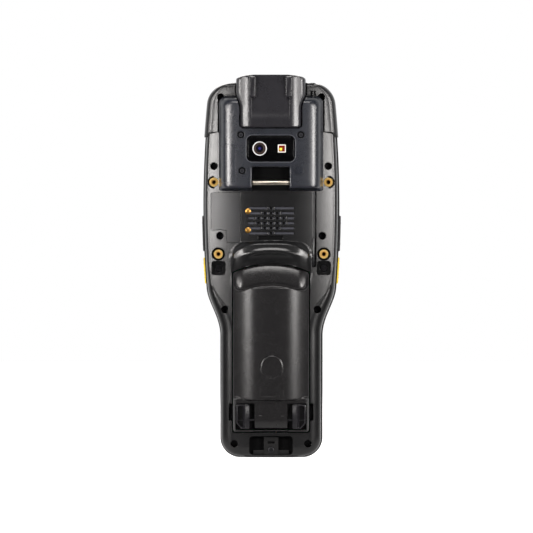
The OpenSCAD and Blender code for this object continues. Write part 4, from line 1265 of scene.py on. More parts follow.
@dataclass
class RearHousing:
    """Back shell with the battery bay, ridge, grille, label recess and bottom recess."""

    ridge_r: float = 58.9
    ridge_h: float = 3.2
    grille_w: float = 26.4
    pitch_x: float = 3.6
    pitch_z: float = 2.86
    holes: tuple[int, ...] = (1, 3, 5, 5, 3, 1)
    recess: tuple[float, float, float] = (24.8, 1.5, 12.2)
    pocket: float = 8.1
    seat_y: float = -3.4
    insert_bore: float = 2.62
    strap_slit: tuple[float, float] = (-6.8, 7.4)

    def ridge(self, x: float, z: float) -> float:
        """Height of the arched ridge over the crown, with the scoop between it and the pack.

        Args:
            x, z: The place.

        Returns:
            The height that is added to the crown there.
        """
        a = abs(x)
        end = ease((a - 8.0) / 12.0)
        v = min(1.0, max(0.0, (123.6 - x * x / 400 - end_drop(22.2 - a, 7.0) - z) / (2.6 + 1.6 * end)))
        if a >= 22.2 or v == 0.0:
            return 0.0
        t = math.hypot(x, z - BAY.arch_z) - self.ridge_r
        rise = self.ridge_h * (0.78 - 0.24 * ease(-t / 9.0))
        rise += 0.27 * self.ridge_h * math.exp(-((t / 1.7) ** 2)) * (1 - end)
        ramp = 0.15 * max(0.0, min(a, 17.6) - 15.2) ** 2 / 4.8 + 0.15 * max(0.0, a - 17.6)
        round_off = max(0.0, a - 20.5) / 1.7
        side = max(0.0, rise - ramp) * math.sqrt(max(0.0, 1 - round_off**2))
        dent = 1 - (x / 15.4) ** 2 - ((z - 110.6) / (BAY.arch_z + self.ridge_r - 111.1)) ** 2
        shoulder = (1 - (1 - v) ** 2.4) * (1 - end) + ease(v) * end
        seam = 0.9 + 0.1 * ease((t + 7.1) / 1.6)
        return (shoulder * side * seam - 2.2 * max(0.0, dent)) * ease((z - 97.0) / 8.0)

    def back_at(self, x: float, z: float) -> float:
        """Depth of the back's surface at (x, z)."""
        ends = end_drop(min(z, FORM.body_top - z), FORM.tail)
        return FORM.crown(x) - ends + self.ridge(x, z)

    def edge_width(self, z: float) -> float:
        """Width of the rounded flank: narrow on the head, wide on the grip."""
        return 2.2 + 5.0 * (1 - ease((z - 80) / 26))

    def sections(self) -> Shape:
        """The outer form as a dense loft."""
        f = FORM
        coarse = [z for z in f.heights(f.inset, f.inset, 1.25) if not 109.6 < z < 124.4]
        zs = sorted({0.0, *coarse, *steps(109.6, 124.4, 50)})
        rings = []
        for z in zs:
            zz = max(z, f.inset)
            rx = self.edge_width(z)
            half = f.half(zz, f.inset)
            rings.append(loft_points(half, z, f.parting + 0.1, lambda x, z=z: self.back_at(x, z), rx, 4.5, 64))
        return skin(rings)

    def crease(self) -> Shape:
        """Groove along the waist where the flat back meets the rounded side, fading out upwards."""
        f = FORM
        rings = []
        for z in steps(86.5, 107.0, 30):
            x = f.half(z, f.inset) - 2.0 - 6.2 * (1 - ease((z - 84) / 17))
            y = f.crown(x) + 0.24 * ease((z - 97) / 10)
            section = ((0.16, -0.22), (0.3, 0.6), (-0.3, 0.6), (-0.02, -0.22))
            rings.append([(x + p, y + q, z) for p, q in section])
        return skin(rings).both()

    def label_spans(self, g: float) -> list[Point]:
        """Columns of the rating label, shrunk by g, with its corner left free for a screw."""
        x0, x1, z0, z1, low, step = 17.4 + g, 34.4 - g, 129.4 + g, 151.2 - g, 122.3 + g, 25.6 - g
        sx, sz = CASE_SCREWS[2]
        near_x0 = (x0, x0 + 0.1, x0 + 0.35, x0 + 0.9, *steps(x0 + 1.5, step - 1.0, 5))
        near_step = (step - 0.5, step - 0.2, step - 0.05, step, *steps(step + 0.3, x1 - 1.3, 16))
        xs = sorted({*near_x0, *near_step, x1 - 0.9, x1 - 0.4, x1 - 0.1, x1})
        spans = []
        for x in xs:
            a = z0 + end_drop(x1 - x, 1.3)
            if x < step:
                a = low + end_drop(x - x0, 1.2) + end_drop(step - x, 1.2)
            reach = 3.55 + g
            if abs(x - sx) < reach:
                a = max(a, sz + math.sqrt(reach**2 - (x - sx) ** 2))
            spans.append((x, a, z1 - end_drop(x1 - x, 1.3)))
        return spans

    def hole_rows(self) -> list[tuple[float, int]]:
        """Height and number of holes of each of the grille's rows."""
        middle = (len(self.holes) - 1) / 2
        return [(GRILLE_Z + (row - middle) * self.pitch_z, count) for row, count in enumerate(self.holes)]

    def hole_places(self, more: int = 0) -> list[Flat]:
        """Middles of the grille's holes, or with more=1 of the bars beside them."""
        rows = [(z, count + more) for z, count in self.hole_rows()]
        return [((k - (count - 1) / 2) * self.pitch_x, z) for z, count in rows for k in range(count)]

    def crowned(self, x0: float, x1: float, z0: float, z1: float, low: float, high: float) -> Shape:
        """Rectangular slab between two depths measured from the crown."""
        return columns([(x, z0, z1) for x in steps(x0, x1, 16)], lambda x, z: FORM.crown(x), low, high)

    def grille(self) -> list[Shape]:
        """Grooves and square holes in front of the speaker."""
        half = self.grille_w / 2
        grooves = Shape()
        for z, _ in self.hole_rows():
            grooves += self.crowned(-half, half, z - 0.7, z + 0.7, -0.8, 1.0)
        holes = Shape()
        for x, z in self.hole_places():
            holes += block((x - 0.75, FORM.back - 4.2, z - 0.68), (x + 0.75, FORM.back + 1, z + 0.68))
        return [grooves, holes]

    def grille_bars(self, ribs: Field) -> None:
        """Small rounded bars between the grille's holes."""
        points = [(x, FORM.crown(x) - 0.62, z) for x, z in self.hole_places(1)]
        bars = ribs.spread("grille_bars", points, "rear_plastic", Radius=0.0005, Length=0.00142, Turn=0.0)
        smooth(bars, 50)
        finish_piece(bars, "rear_housing", replace=False)

    def painted_shade_plates(self) -> None:
        """Black plates of painted shade in the grille's holes, strap slit, strap channel and bottom recess;
        strips in the grooves.
        """
        # Black blocks at the bottom of each grille hole: painted shade.
        mesh = Shape()
        for x, z in self.hole_places():
            mesh += block((x - 0.74, FORM.back - 2.0, z - 0.67), (x + 0.74, FORM.crown(x) - 0.9, z + 0.67))
        half = self.grille_w / 2 - 0.1
        strips = Shape()
        for z, _ in self.hole_rows():
            strips += self.crowned(-half, half, z - 0.6, z + 0.6, -0.85, -0.74)
        bed = as_object("grille_strips", strips)
        work_on(bed, [self.grille()[1]])
        smooth(bed)
        finish_piece(bed, "rear_housing", "grille_strip", replace=False)
        # Black plates in the strap channel, the strap slit and on the bottom recess's floor: painted shade.
        strap = self.crowned(-10.6, 10.6, 152.2, 165.4, -0.2, 0.06)
        slit = self.crowned(self.strap_slit[0] + 0.2, self.strap_slit[1] - 0.2, 124.1, 126.3, -0.9, -0.7)
        w, z0, z1 = self.recess
        floor = pad(0, (z0 + z1) / 2, w - 0.04, z1 - z0 - 0.04, 1.98, -0.2, 0.05)
        # Black rings in the grooves round the lower inserts: painted shade.
        for s in (1, -1):
            slit += flat_ring(s * INSERTS[1][0], INSERTS[1][1], 3.77, self.insert_bore, 1.5, 2.0)
        shade_plates = {"grille_hole_painted_shade": mesh, "slot_painted_shade": slit, "strap_channel_painted_shade": strap, "recess_painted_shade": floor}
        for name, shape in shade_plates.items():
            make_piece(name, shape, "rear_housing", "painted_shade_black", False)

    def insert_seats(self) -> list[Shape]:
        """Bores of the inserts, and the dark grooves round them."""
        bores = Shape()
        rings = Shape()
        (upper_x, upper_z), (lower_x, lower_z) = INSERTS
        for s in (1, -1):
            for x, z in INSERTS:
                bores += rod_y(s * x, z, self.insert_bore, -3.2, FORM.back + 1)
            rings += self.ring(s * upper_x, upper_z, 3.6, -95 if s > 0 else 85, 185, 3.0)
            rings += self.ring(s * lower_x, lower_z, 3.8, 0, 360, 2.2)
        return [bores, rings]

    def ring(self, x: float, z: float, r1: float, start: float, sweep: float, deep: float) -> Shape:
        """Curved groove round an insert.

        Args:
            x, z: The insert's middle.
            r1: Outer radius of the groove.
            start, sweep: Where it begins and how long it is, in degrees.
            deep: Its depth below the insert's face.

        Returns:
            The groove's cutter, closed in itself when it goes all the way round.
        """
        r0 = 2.4
        n = max(8, round(sweep / 9))
        top = FORM.back + 1
        low = 3.84 - deep
        rings = []
        for k in range(n + (0 if sweep >= 360 else 1)):
            ca, sa = cosd(start + sweep * k / n), sind(start + sweep * k / n)
            rings.append([(x + r * ca, y, z + r * sa) for r, y in ((r0, low), (r1, low), (r1, top), (r0, top))])
        return hoop(rings) if sweep >= 360 else skin(rings)

    def stylus_slot(self) -> list[Shape]:
        """Round groove for the stylus, with a slit beside it and an open window at its tip."""
        tube = lathe_z(STYLUS_X, STYLUS_Y, [(1.46, STYLUS_Z - 0.15), (1.46, 214.5)])
        window = pad(STYLUS_X - 0.45, STYLUS_Z + 8.0, 2.0, 16.3, 0.6, STYLUS_Y, 8.0)
        side = block((-25.85, 2.6, STYLUS_Z), (-25.1, 8, 190))
        return [tube, window, side, block((-26.2, 3.9, 124.6), (-23.4, 8, 125.3))]

    def build(self, zone: Object, ribs: Field) -> None:
        """Builds the housing and its labels.

        Args:
            zone: What the bumper takes from it.
            ribs: Tree for the bars between the grille's holes.
        """
        f = FORM
        obj = as_object("rear_housing_shell", self.sections())
        work_on(obj, [self.crease()])
        work_on(obj, [prism(BAY.outline(0.3), f.back - 14.7, f.back + 8)])
        notch = block((BAY.width / 2 - 1, -2.9, 20.9), (BAY.width / 2 + 2.1, f.back + 1, 30.9)).both()
        hook = block((-8.3, LUG_Y - 1.4, LUG_Z - 4), (8.3, LUG_Y + 1.4, LUG_Z))
        work_on(obj, [notch, rod_x(LUG_Y, LUG_Z, 1.4, -8.3, 8.3), hook])
        bores = Shape()
        for x, z in CASE_SCREWS:
            for s in (1, -1):
                bores += rod_y(s * x, z, SCREW_BORE, self.seat_y, f.back + 6, 40)
        x, z = CASE_SCREWS[3]
        pockets = pad(x, z, self.pocket, self.pocket, 1.7, self.seat_y + 2.6, f.back + 1).both()
        ledge = pad(x + 1.4, z, 7.0, 6.9, 0.8, 4.0, f.back + 1).both()
        work_on(obj, [pockets, ledge, bores])
        work_on(obj, self.insert_seats())
        contacts = Shape()
        for k in (-0.5, 0.5):
            contacts += rod_y(CONTACT_X, GRILLE_Z + k * CONTACT_GAP, 1.74, f.back - 6, f.back + 1, 32)
        work_on(obj, [*self.grille(), contacts])
        label = columns(self.label_spans(0.0), lambda x, z: f.crown(x), -0.35, 1.0)
        work_on(obj, [label, self.crowned(*self.strap_slit, 123.9, 126.5, -0.8, 4.0), *self.stylus_slot()])
        w, z0, z1 = self.recess
        recess = pad(0, (z0 + z1) / 2, w, z1 - z0, 2.0, 0.0, f.back + 1)
        mouth = block((-15.4, 1.2, 0.45), (15.4, f.back + 1, 1.0))
        work_on(obj, [recess, mouth, zone, block((-19.95, 1.25, 202.75), (19.95, 8, 219))])
        smooth(obj, 28)
        finish_piece(obj, "rear_housing")
        self.grille_bars(ribs)
        # Black plates that paint the shade in holes, slits and recesses.
        self.painted_shade_plates()
        self.labels()

    def labels(self) -> None:
        """Blank rating label and the clear film on the module cover."""
        plate = columns(self.label_spans(0.26), lambda x, z: FORM.crown(x), -0.34, -0.16)
        make_piece("rating_label_blank", plate, "labels")
        make_piece("clear_label_blank", ModuleCover().film(), "labels", "clear_film", False)


# ---------------------------------------------------------------- head


@dataclass
class TopBumper:
    """Soft-edged bumper round the head."""

    rise: float = 0.6
    thick: float = 2.2
    seam: float = 0.6

    def build(self) -> None:
        """Builds the bumper."""
        f = FORM
        zs = [f.bumper_z - 1] + [z for z in f.heights(0, -self.rise, 1.2) if z > f.bumper_z + 0.4]
        rings = []
        for z in zs:
            lift = self.rise - end_drop(f.head_top - z, 2.5)
            half = f.half(z, -self.rise)
            rings.append(loft_points(half, z, f.face + 3, lambda x, up=lift: f.crown(x) + up, 4.2, 4.5, 52))
        obj = as_object("top_bumper_band", skin(rings))
        work_on(obj, [bumper_side(0.0)], Cut.KEEP)
        work_on(obj, [body_core(self.thick - self.rise, f.bumper_z - 2), *cover_gap(-self.seam)])
        x, z = CASE_SCREWS[0]
        tube = lathe_z(STYLUS_X, STYLUS_Y, [(1.55, f.bumper_z - 1), (1.55, 219)])
        notch = block((STYLUS_X - 1.54, STYLUS_Y, 206), (STYLUS_X + 1.54, 9, 209.1))
        work_on(obj, [rod_y(x, z, SCREW_BORE, f.face, f.back + 2).both(), tube, notch])
        smooth(obj, 28)
        finish_piece(obj, "top_bumper")


@dataclass
class ModuleCover:
    """Raised cover with the camera window, the strap slot and seats for its screws."""

    low: float = 152.0
    length: float = 54.0
    width: float = 59.4
    corner: float = 4.2
    edge: float = 3.6
    crown: float = 240.0
    slot: tuple[float, float] = (21.4, 13.6)

    def face(self, x: float) -> float:
        """Depth of the cover's gently crowned back at x, falling off towards the sides."""
        return FORM.cover - self.fall(x)

    def fall(self, x: float) -> float:
        """How far the back lies below its crest at x."""
        return sag(self.crown, x) + max(0.0, abs(x) - 22.0) ** 2 / 28

    def ring(self, inset: float, height: float) -> list[Point]:
        """One level of the cover, inset from its foot.

        Args:
            inset: How far it lies inside the cover's foot.
            height: Its height over the body's back.

        Returns:
            Its points, all round.
        """
        foot = inset
        if inset > 1:
            foot = 1 + 0.4 * (min(inset, 1 + self.edge) - 1) + 1.0964 * max(0.0, inset - 1 - self.edge)
        w, l = self.width - 2 * inset, self.length - inset - foot
        bend = ease(height / 7.0)
        fine: list[Point] = []
        r = min(self.corner, w * 0.49, l * 0.49)
        small = min(1.5, r)
        corners: list[Flat] = []
        for sx, sz, turn, c in ((1, 1, 0, r), (-1, 1, 90, r), (-1, -1, 180, small), (1, -1, 270, small)):
            x, z = sx * (w / 2 - c), sz * (l / 2 - c)
            corners += [(x + c * cosd(a), z + c * sind(a)) for a in range(turn, turn + 91, 9)]
        for k, (x, z) in enumerate(corners):
            nx, nz = corners[(k + 1) % len(corners)]
            n = 16 if k % 11 == 10 else 1
            fine += [(x + (nx - x) * i / n, 0.0, z + (nz - z) * i / n) for i in range(n)]
        middle = self.low + (self.length + foot - inset) / 2
        return [(x, FORM.back + height - bend * self.fall(x), middle + z) for x, _, z in fine]

    def levels(self) -> list[Flat]:
        """(inset, height) of the rings: drafted wall, rounded edge, then inwards over the back."""
        out: list[Flat] = [(0.0, -2.5), (0.0, 0.0), (0.5, 2.5), (1.0, 4.6)]
        out += [(1.0 + self.edge * (1 - cosd(a)), 4.6 + 4.4 * sind(a)) for a in range(0, 91, 9)]
        return out + [(1.0 + self.edge + d, 9.0) for d in (0.8, 2.0, 4.0, 7.0, 10.0, 13.0, 16.0, 19.0, 22.2)]

    def film(self) -> Shape:
        """Clear film that runs over the cover's left edge."""
        path: list[Flat] = [(x, self.face(x)) for x in steps(20.3, 24.9, 5)]
        for d, h in reversed(self.levels()[4:14]):
            x = self.width / 2 - d
            path.append((x, FORM.back + h - ease(h / 7.0) * self.fall(x)))
        rings = []
        for h, cut in ((4.8, 0.0), (25.2, 0.0), (25.8, 0.25), (26.2, 0.9)):
            z = self.low + h
            first = path[0][0] + cut
            line = [(first, self.face(first))] + [p for p in path if p[0] > first]
            line += [line[-1]] * (len(path) - len(line))
            outer = [(x + 0.01 * k, y + 0.05, z) for k, (x, y) in enumerate(line)]
            rings.append(outer + [(x - 0.3, y - 0.5, z) for x, y in reversed(line)])
        return skin(rings)

    def rim(self, outline: Callable[[float], list[Flat]], radius: float) -> Shape:
        """Cutter that rounds the rim of an opening.

        Args:
            outline: Gives the opening's outline, grown by a distance.
            radius: Radius of the rounded rim.

        Returns:
            The cutter, following the crowned back.
        """
        arc = [(radius * (1 - cosd(a)), -radius * (1 - sind(a))) for a in range(0, 91, 15)]
        rings = [(0.0, -radius - 0.6), *arc, (radius, 1.0)]
        return skin([[(x, self.face(x) + d, z) for x, z in dense(outline(g), 2.0)] for g, d in rings])

    def slot_outline(self, g: float) -> list[Flat]:
        """Outline of the strap slot, open at the bottom, grown by g."""
        sw, sh = self.slot[0] / 2 + g, self.low + self.slot[1] + g
        r = 1.0 + g
        arc = [(r * cosd(a), r * sind(a)) for a in range(0, 91, 18)]
        foot = [(sw, self.low - 1), (sw, self.low + 2.5)]
        top = [(sw - r + x, sh - r + z) for x, z in arc]
        return foot + top + [(-x, z) for x, z in reversed(top)] + [(-x, z) for x, z in reversed(foot)]

    def build(self) -> None:
        """Builds the cover."""
        f = FORM
        obj = as_object("module_cover_shell", skin([self.ring(d, h) for d, h in self.levels()]))
        under = skin([loft_points(50, z, -30, lambda x: f.crown(x) + 0.05, 4, 4, 60) for z in (140.0, 216.0)])
        inside = skin([self.ring(d, h) for d, h in ((1.6, -4.0), (2.2, 3.0), (4.6, 6.9))])
        work_on(obj, [inside, under])
        low, gap = ScanHood.low, 0.5
        heights = [low + h for h in (-gap, 0.02 - gap, 0.05, 0.3, 0.7, 1.2)] + steps(189.7, 212, 20)
        hood = [(ScanHood.half_at(z) + gap, z) for z in heights]
        pocket = hood + [(-x, z) for x, z in reversed(hood)]
        sw, sh = self.slot
        window = prism(Camera.outline(1.25), f.back, f.hood)
        slot = prism(self.slot_outline(0.0), f.back - 1, f.cover + 1)
        work_on(obj, [prism(pocket, f.back - 5, f.hood), window, slot, self.rim(self.slot_outline, 0.8)])
        cheeks = block((sw / 2, f.back, self.low + 2.2), (sw / 2 + 3, f.cover - 1.6, self.low + sh)).both()
        ledge = block((-sw / 2 - 1, f.back, self.low + sh), (sw / 2 + 1, f.cover - 1.6, self.low + sh + 1.4))
        work_on(obj, [cheeks, ledge], Cut.JOIN)
        work_on(obj, [rod_x(BAR_Y, BAR_Z, 1.5, -sw / 2 - 2, sw / 2 + 2), under])
        seats, shade_plates = Shape(), Shape()
        for x, q in COVER_SCREWS:
            y = self.face(x)
            seat = [(2.05, y - 1.8), (2.05, y - 0.2), (2.12, y - 0.05), (2.3, y + 0.06), (2.3, y + 1)]
            seats += lathe(x, q, [(0.9, f.back - 1), (0.9, y - 1.8), *seat])
            # Black disc deep in each screw seat: painted shade in the ring round the head.
            shade_plates += rod_y(x, q, 2.03, y - 2.2, y - 1.2)
        work_on(obj, [seats.both()])
        smooth(obj, 26)
        finish_piece(obj, "module_cover")
        # Painted shade in the screw seats.
        make_piece("screw_seat_painted_shade", shade_plates.both(), "module_cover", "painted_shade_black", False)


@dataclass
class ScanHood:
    """Scanner hood with its recessed slab and two ribs."""

    low: float = 187.9
    length: float = 30.1
    corner: float = 2.4
    rib_x: float = 10.4
    rib_w: float = 3.8

    @classmethod
    def half_at(cls, z: float) -> float:
        """Half width of the hood at height z."""
        h = z - cls.low
        tip = cls.length - h
        grow = ease((h - 11) / 9)
        return 17.5 + 2.3 * grow - (end_drop(tip, 2.8) * 3.4 if tip < 2.8 else 0.0) - end_drop(max(0.0, h), 1.6)

    def top_at(self, x: float, z: float) -> float:
        """Depth of the hood's back at (x, z).

        Args:
            x, z: The place.

        Returns:
            Its depth there.
        """
        h = z - self.low
        tip = end_drop(self.length - h, 1.2) if h > self.length - 1.2 else 0.0
        foot = end_drop(h, 0.8) if h < 0.8 else 0.0
        a = max(0.0, abs(x) - 10.7)
        return FORM.hood - tip - foot - sag(12.5, min(a, 8.5))

    def slab(self) -> Shape:
        """Cutter of the recessed slab between the ribs, deeper towards the top."""
        rings = []
        for h in steps(4.5, 32.0, 24):
            y = FORM.hood - (1.7 * ease(h / 30) + 0.25) * ease((h - 4.5) / 4.0)
            section = ((-10.7, y), (10.7, y), (10.9, FORM.hood + 1), (-10.9, FORM.hood + 1))
            rings.append([(x, yy, self.low + h) for x, yy in section])
        return skin(rings)

    def build(self) -> None:
        """Builds the hood, with room cut for the scan window and engine."""
        f = FORM
        ends = (27.3, 27.9, 28.4, 28.9, 29.3, 29.6, 29.85, 30.0, 30.1)
        heights = [0, 0.06, 0.18, 0.35, 0.6, 0.9, 1.25, *steps(1.6, 26.5, 26), *ends]
        rings = []
        for z in (self.low + h for h in heights):
            base = f.back + 0.1 if z < 202.9 else 1.4
            rings.append(
                loft_points(self.half_at(z), z, base, lambda x, z=z: self.top_at(x, z), self.corner, 4.0, 64))
        obj = as_object("scan_hood_shell", skin(rings))
        work_on(obj, [self.slab()])
        work_on(obj, [self.rib(self.rib_x) + self.rib(-self.rib_x)], Cut.JOIN)
        room = block((-15.6, 3.0, 203.9), (15.6, 14.4, 214.8))
        mouth = block((-13.4, 4.2, 214), (13.4, 13.4, 219))
        under = skin([loft_points(50, z, -30, lambda x: f.crown(x) + 0.05, 4, 4, 60) for z in (180.0, 202.8)])
        work_on(obj, [room, mouth, under])
        smooth(obj, 28)
        finish_piece(obj, "scan_hood")

    def rib(self, x: float) -> Shape:
        """One rib with bevelled edges and rounded ends."""
        f = FORM
        levels = ((0.0, f.hood - 2.6), (0.05, f.rib - 0.55), (0.2, f.rib - 0.22), (0.5, f.rib))
        return skin([rounded(x, y, 211.0, self.rib_w - 2 * d, 12.0 - 2 * d, 0.9, 5) for d, y in levels])


@dataclass
class Camera:
    """Camera window with lens, ring and flash lamp."""

    z: float = 176.0
    x: float = 6.3
    y: float = 14.9
    window: tuple[float, float] = (26.0, 13.3)

    def build(self) -> None:
        """Builds the camera's pieces."""
        x, z, y = self.x, self.z, self.y
        make_piece("camera_glass", pad(0, z, *self.window, 2.4, y - 0.95, y, 0.12), "camera_window")
        mask = self.band(1.0, 1.05, y - 0.6, y - 0.04)
        make_piece("window_mask", mask, "camera_window", "black_glass", False)
        # Light grey band round the window: painted highlight standing in for the lit rim.
        painted_highlight_rim = self.band(1.25, 0.34, y - 0.9, ModuleCover().face(13.0) + 0.02)
        make_piece("window_rim_painted_highlight", painted_highlight_rim, "camera_window", "painted_highlight_rim", False)
        make_piece("lens_ring", flat_ring(x, z, 4.05, 3.5, y, y + 0.24), "camera_ring")
        tube = flat_ring(x, z, 3.5, 2.2, y - 0.02, y + 0.12)
        make_piece("lens_tube", tube, "camera_ring", "lens_tube", False)
        dome = [(2.2, y - 0.1), (2.15, y + 0.02), (1.7, y + 0.1), (1.0, y + 0.17), (0.3, y + 0.2)]
        make_piece("lens_dome", lathe(x, z, dome), "camera_ring", "lens_glass", False)
        iris = [(0.75, y + 0.12), (0.75, y + 0.2), (0.6, y + 0.23), (0.1, y + 0.24)]
        make_piece("lens_iris", lathe(x, z, iris, 32), "camera_ring", "lens_iris", False)
        frame_rim = as_object("flash_frame", pad(-x, z, 4.5, 4.5, 0.4, y, y + 0.24, 0.08))
        work_on(frame_rim, [pad(-x, z, 3.6, 3.6, 0.2, y + 0.12, y + 1)])
        smooth(frame_rim)
        finish_piece(frame_rim, "flash_lamp")
        red = as_object("flash_cavity", pad(-x, z, 3.55, 3.55, 0.2, y + 0.1, y + 0.15))
        finish_piece(red, "flash_lamp", "lamp_red", replace=False)
        die = pad(-x + 0.6, z - 0.35, 1.5, 1.5, 0.3, y + 0.14, y + 0.22, 0.04)
        make_piece("flash_die", die, "flash_lamp", "lamp_yellow", False)

    @classmethod
    def outline(cls, g: float) -> list[Flat]:
        """Outline of the camera window, grown by g."""
        w, h = cls.window
        return [(x, cls.z + q) for x, q in round_rect(w + 2 * g, h + 2 * g, 2.4 + g, 8)]

    def band(self, grow: float, wide: float, y0: float, y1: float) -> Shape:
        """Flat band round the window, wide millimetres across, with softened rims.

        Args:
            grow: How far its outer edge is outside the window.
            wide: Its width.
            y0, y1: Depths of its base and of its face.

        Returns:
            The band as a closed ring.
        """
        soft = min(0.12, (y1 - y0) / 3)
        inner = grow - wide
        profile = [
            (grow, y0), (grow, y1 - soft), (grow - soft, y1), (inner + soft, y1), (inner, y1 - soft),
            (inner, y0)]
        return hoop([[(x, y, z) for x, z in self.outline(g)] for g, y in profile])


# ---------------------------------------------------------------- battery pack


@dataclass
class BatteryPack:
    """Cover of the pack with its arched lip, latches, lug and strip."""

    step_z: float = 33.0
    plate_y: float = 8.4
    skirt_y: float = 3.0
    crest: float = 11.0
    inset: float = 0.22
    scoop_r: float = 84.0
    scoop_top: float = 97.7
    lip_half: float = 20.2
    lip_crest: float = 41.6

    def body_rise(self, x: float) -> float:
        """Depth of the main part across the pack: nearly flat, then rounding off to the sides."""
        a = min(abs(x), 8.5)
        turn = 0.068 + max(0.0, abs(x) - 8.5) / 25
        return self.crest - 0.004 * a * a + 25 * (math.log(math.cos(turn)) - math.log(math.cos(0.068)))

    def lip_rise(self, x: float, z: float) -> float:
        """Depth of the raised lip under the arched edge."""
        t = math.hypot(x, z - BAY.arch_z) - self.lip_crest
        y = 11.0 - (2.1 * (t / 9.2) ** 2 if t > 0 else 2.4 * ease(-t / 5.5))
        return y - 0.06 * max(0.0, abs(x) - 15.5) ** 2

    def back_at(self, x: float, z: float) -> float:
        """Depth of the pack's back at (x, z).

        Args:
            x, z: The place.

        Returns:
            Its depth, before the rims are rounded.
        """
        rim = FORM.crown(x) - 0.35
        inside = -soft_max(self.lip_edge(x) - z, abs(x) - self.lip_half, 5.0)
        lip = max(rim, self.lip_rise(x, z))
        main = max(rim, self.body_rise(x))
        upper = main + (lip - main) * ease((inside + 1.1) / 1.5)
        plate = self.plate_y - 1.5 * ease((abs(x) - 20.2) / 1.6)
        plate -= 2.8 * ease((21.0 - z) / 6.6) * (1 - 0.75 * ease((abs(x) - 9.2) / 0.8))
        return plate + (upper - plate) * ease((z - self.smile(x)) / 1.3)

    def smile(self, x: float) -> float:
        """Height of the step's line at x: lowest in the middle, with upturned ends."""
        return self.step_z - 1.2 + 1.7 * ease((abs(x) - 11.0) / 9.5)

    def lip_edge(self, x: float) -> float:
        """Height of the lip's lower edge at x."""
        return self.scoop_top - sag(self.scoop_r, min(abs(x), self.lip_half))

    def rows(self, x: float, low: float, high: float) -> list[float]:
        """Heights of the grid's rows at x: even, but along the step and the lip's lower edge.

        Args:
            x: Place across the pack.
            low, high: The first and the last height.

        Returns:
            The heights, from low to high.
        """
        smile = self.smile(x)
        edge = self.lip_edge(x)
        marks = [low, low + 0.7, smile - 1.0, smile + 2.2, edge - 3.0, edge + 2.0, high - 2.1, high]
        counts = [3, 28, 16, 96, 22, 24, 10]
        return [z for k, n in enumerate(counts) for z in steps(marks[k], marks[k + 1], n)[:-1]] + [high]

    def skin(self) -> Shape:
        """Cover as a closed form: a fine back, a skirt and a flat underside."""
        nx = 124
        d = -self.inset
        half = BAY.width / 2 + d
        corner = 1.7
        places: list[list[Point]] = []
        for i in range(nx + 1):
            u = -1 + 2 * i / nx
            x = half * (u * (1.06 - 0.06 * u * u))
            foot = BAY.foot - d
            low = foot + end_drop(half - abs(x), corner)
            high = BAY.top_at(x, d)
            column = []
            for z in self.rows(x, low, high):
                y = self.back_at(x, z) - end_drop(min(half - abs(x), z - low), 0.7) * 0.7
                reach = high - z
                if reach < 1.6:
                    y = min(y, 7.0 + reach * 2.3) - end_drop(reach, 0.4) * 0.5
                column.append((x, y, z))
            places.append(column)
        nz = len(places[0]) - 1
        points = [places[i][j] for j in range(nz + 1) for i in range(nx + 1)]
        row = nx + 1
        starts = [j * row + i for j in range(nz) for i in range(nx)]
        faces: list[tuple[int, ...]] = [(k, k + 1, k + row + 1, k + row) for k in starts]
        loop = [*range(row), *range(row + nx, len(points), row)]
        loop += [*range(nz * row + nx - 1, nz * row - 1, -1), *range((nz - 1) * row, 0, -row)]
        start = len(points)
        points += [(points[k][0], self.skirt_y, points[k][2]) for k in loop]
        n = len(loop)
        faces += [(loop[k], start + k, start + (k + 1) % n, loop[(k + 1) % n]) for k in range(n)]
        faces.append(tuple(start + k for k in range(n)))
        return Shape(points, faces)

    def relief(self) -> Shape:
        """Undercut below the arched edge, which keeps it clear of the housing while the pack tilts."""
        profile = ((50.5, 6.3), (50.85, 5.0), (51.3, 3.4), (51.3, 0.6), (53.0, 0.6), (53.0, 6.3))
        rings = []
        for a in steps(-29.0, 29.0, 60):
            across, up = sind(a), cosd(a)
            rings.append([(r * across, y, BAY.arch_z + r * up) for r, y in profile])
        return skin(rings)

    def fields(self) -> list[Shape]:
        """Shallow plain fields: a round one with a raised rim, and a rectangular one."""
        cx, cz, r = -0.6, 51.9, 6.7
        profile = [(r, 1.5), (r, -0.36), (r - 0.5, -0.4)]
        profile += [(q, -0.18) for q in (r - 0.95, r - 1.05, r - 1.6, r - 3.0, r - 4.5, 0.3)]
        rings = [[(cx + u, self.body_rise(cx + u) + d, cz + v) for u, v in circle(q, 72)] for q, d in profile]
        spans = []
        for x in steps(-7.4, 5.8, 44):
            cut = end_drop(6.6 - abs(x + 0.8), 0.8)
            spans.append((x, 34.9 + cut, 42.4 - cut))
        return [skin(rings), columns(spans, lambda x, z: self.body_rise(x), -0.34, 1.5)]

    def build(self) -> None:
        """Builds the pack's pieces."""
        obj = as_object("battery_cover_shell", self.skin())
        window = pad(14.75, 23.3, 10.9, 15.2, 0.7, -6, 14).both()
        work_on(obj, [window, *self.fields()])
        work_on(obj, [self.relief()])
        lug = rod_x(LUG_Y, LUG_Z, 1.1, -8, 8, soft=0.2)
        web = block((-7.9, LUG_Y - 0.65, LUG_Z - 3.5), (7.9, LUG_Y + 0.65, LUG_Z - 0.3))
        inside = [block((-20.15, 0, 34.9), (20.15, 2.95, 103.4)), block((-20.15, 0, 15.6), (20.15, 6.4, 33.0))]
        work_on(obj, inside)
        marks = Shape()
        for x in (6.1, -6.5):
            marks += pad(x, 23.7, 1.5, 0.7, 0.3, self.plate_y - 0.5, self.plate_y + 0.18, 0.15)
        work_on(obj, [web, lug, marks], Cut.JOIN)
        smooth(obj, 30)
        finish_piece(obj, "battery_cover")
        for side, name in ((1, "latch_left"), (-1, "latch_right")):
            self.latch(side, name)

    def latch(self, side: int, name: str) -> None:
        """One sliding latch: D-shaped rim, pocket for the fingertip and a raised inner bar.

        Args:
            side: 1 for the left latch, -1 for the right one.
            name: Its node.
        """
        x0, x1, z0, z1 = 12.2, 19.8, 16.3, 30.3
        y = self.plate_y

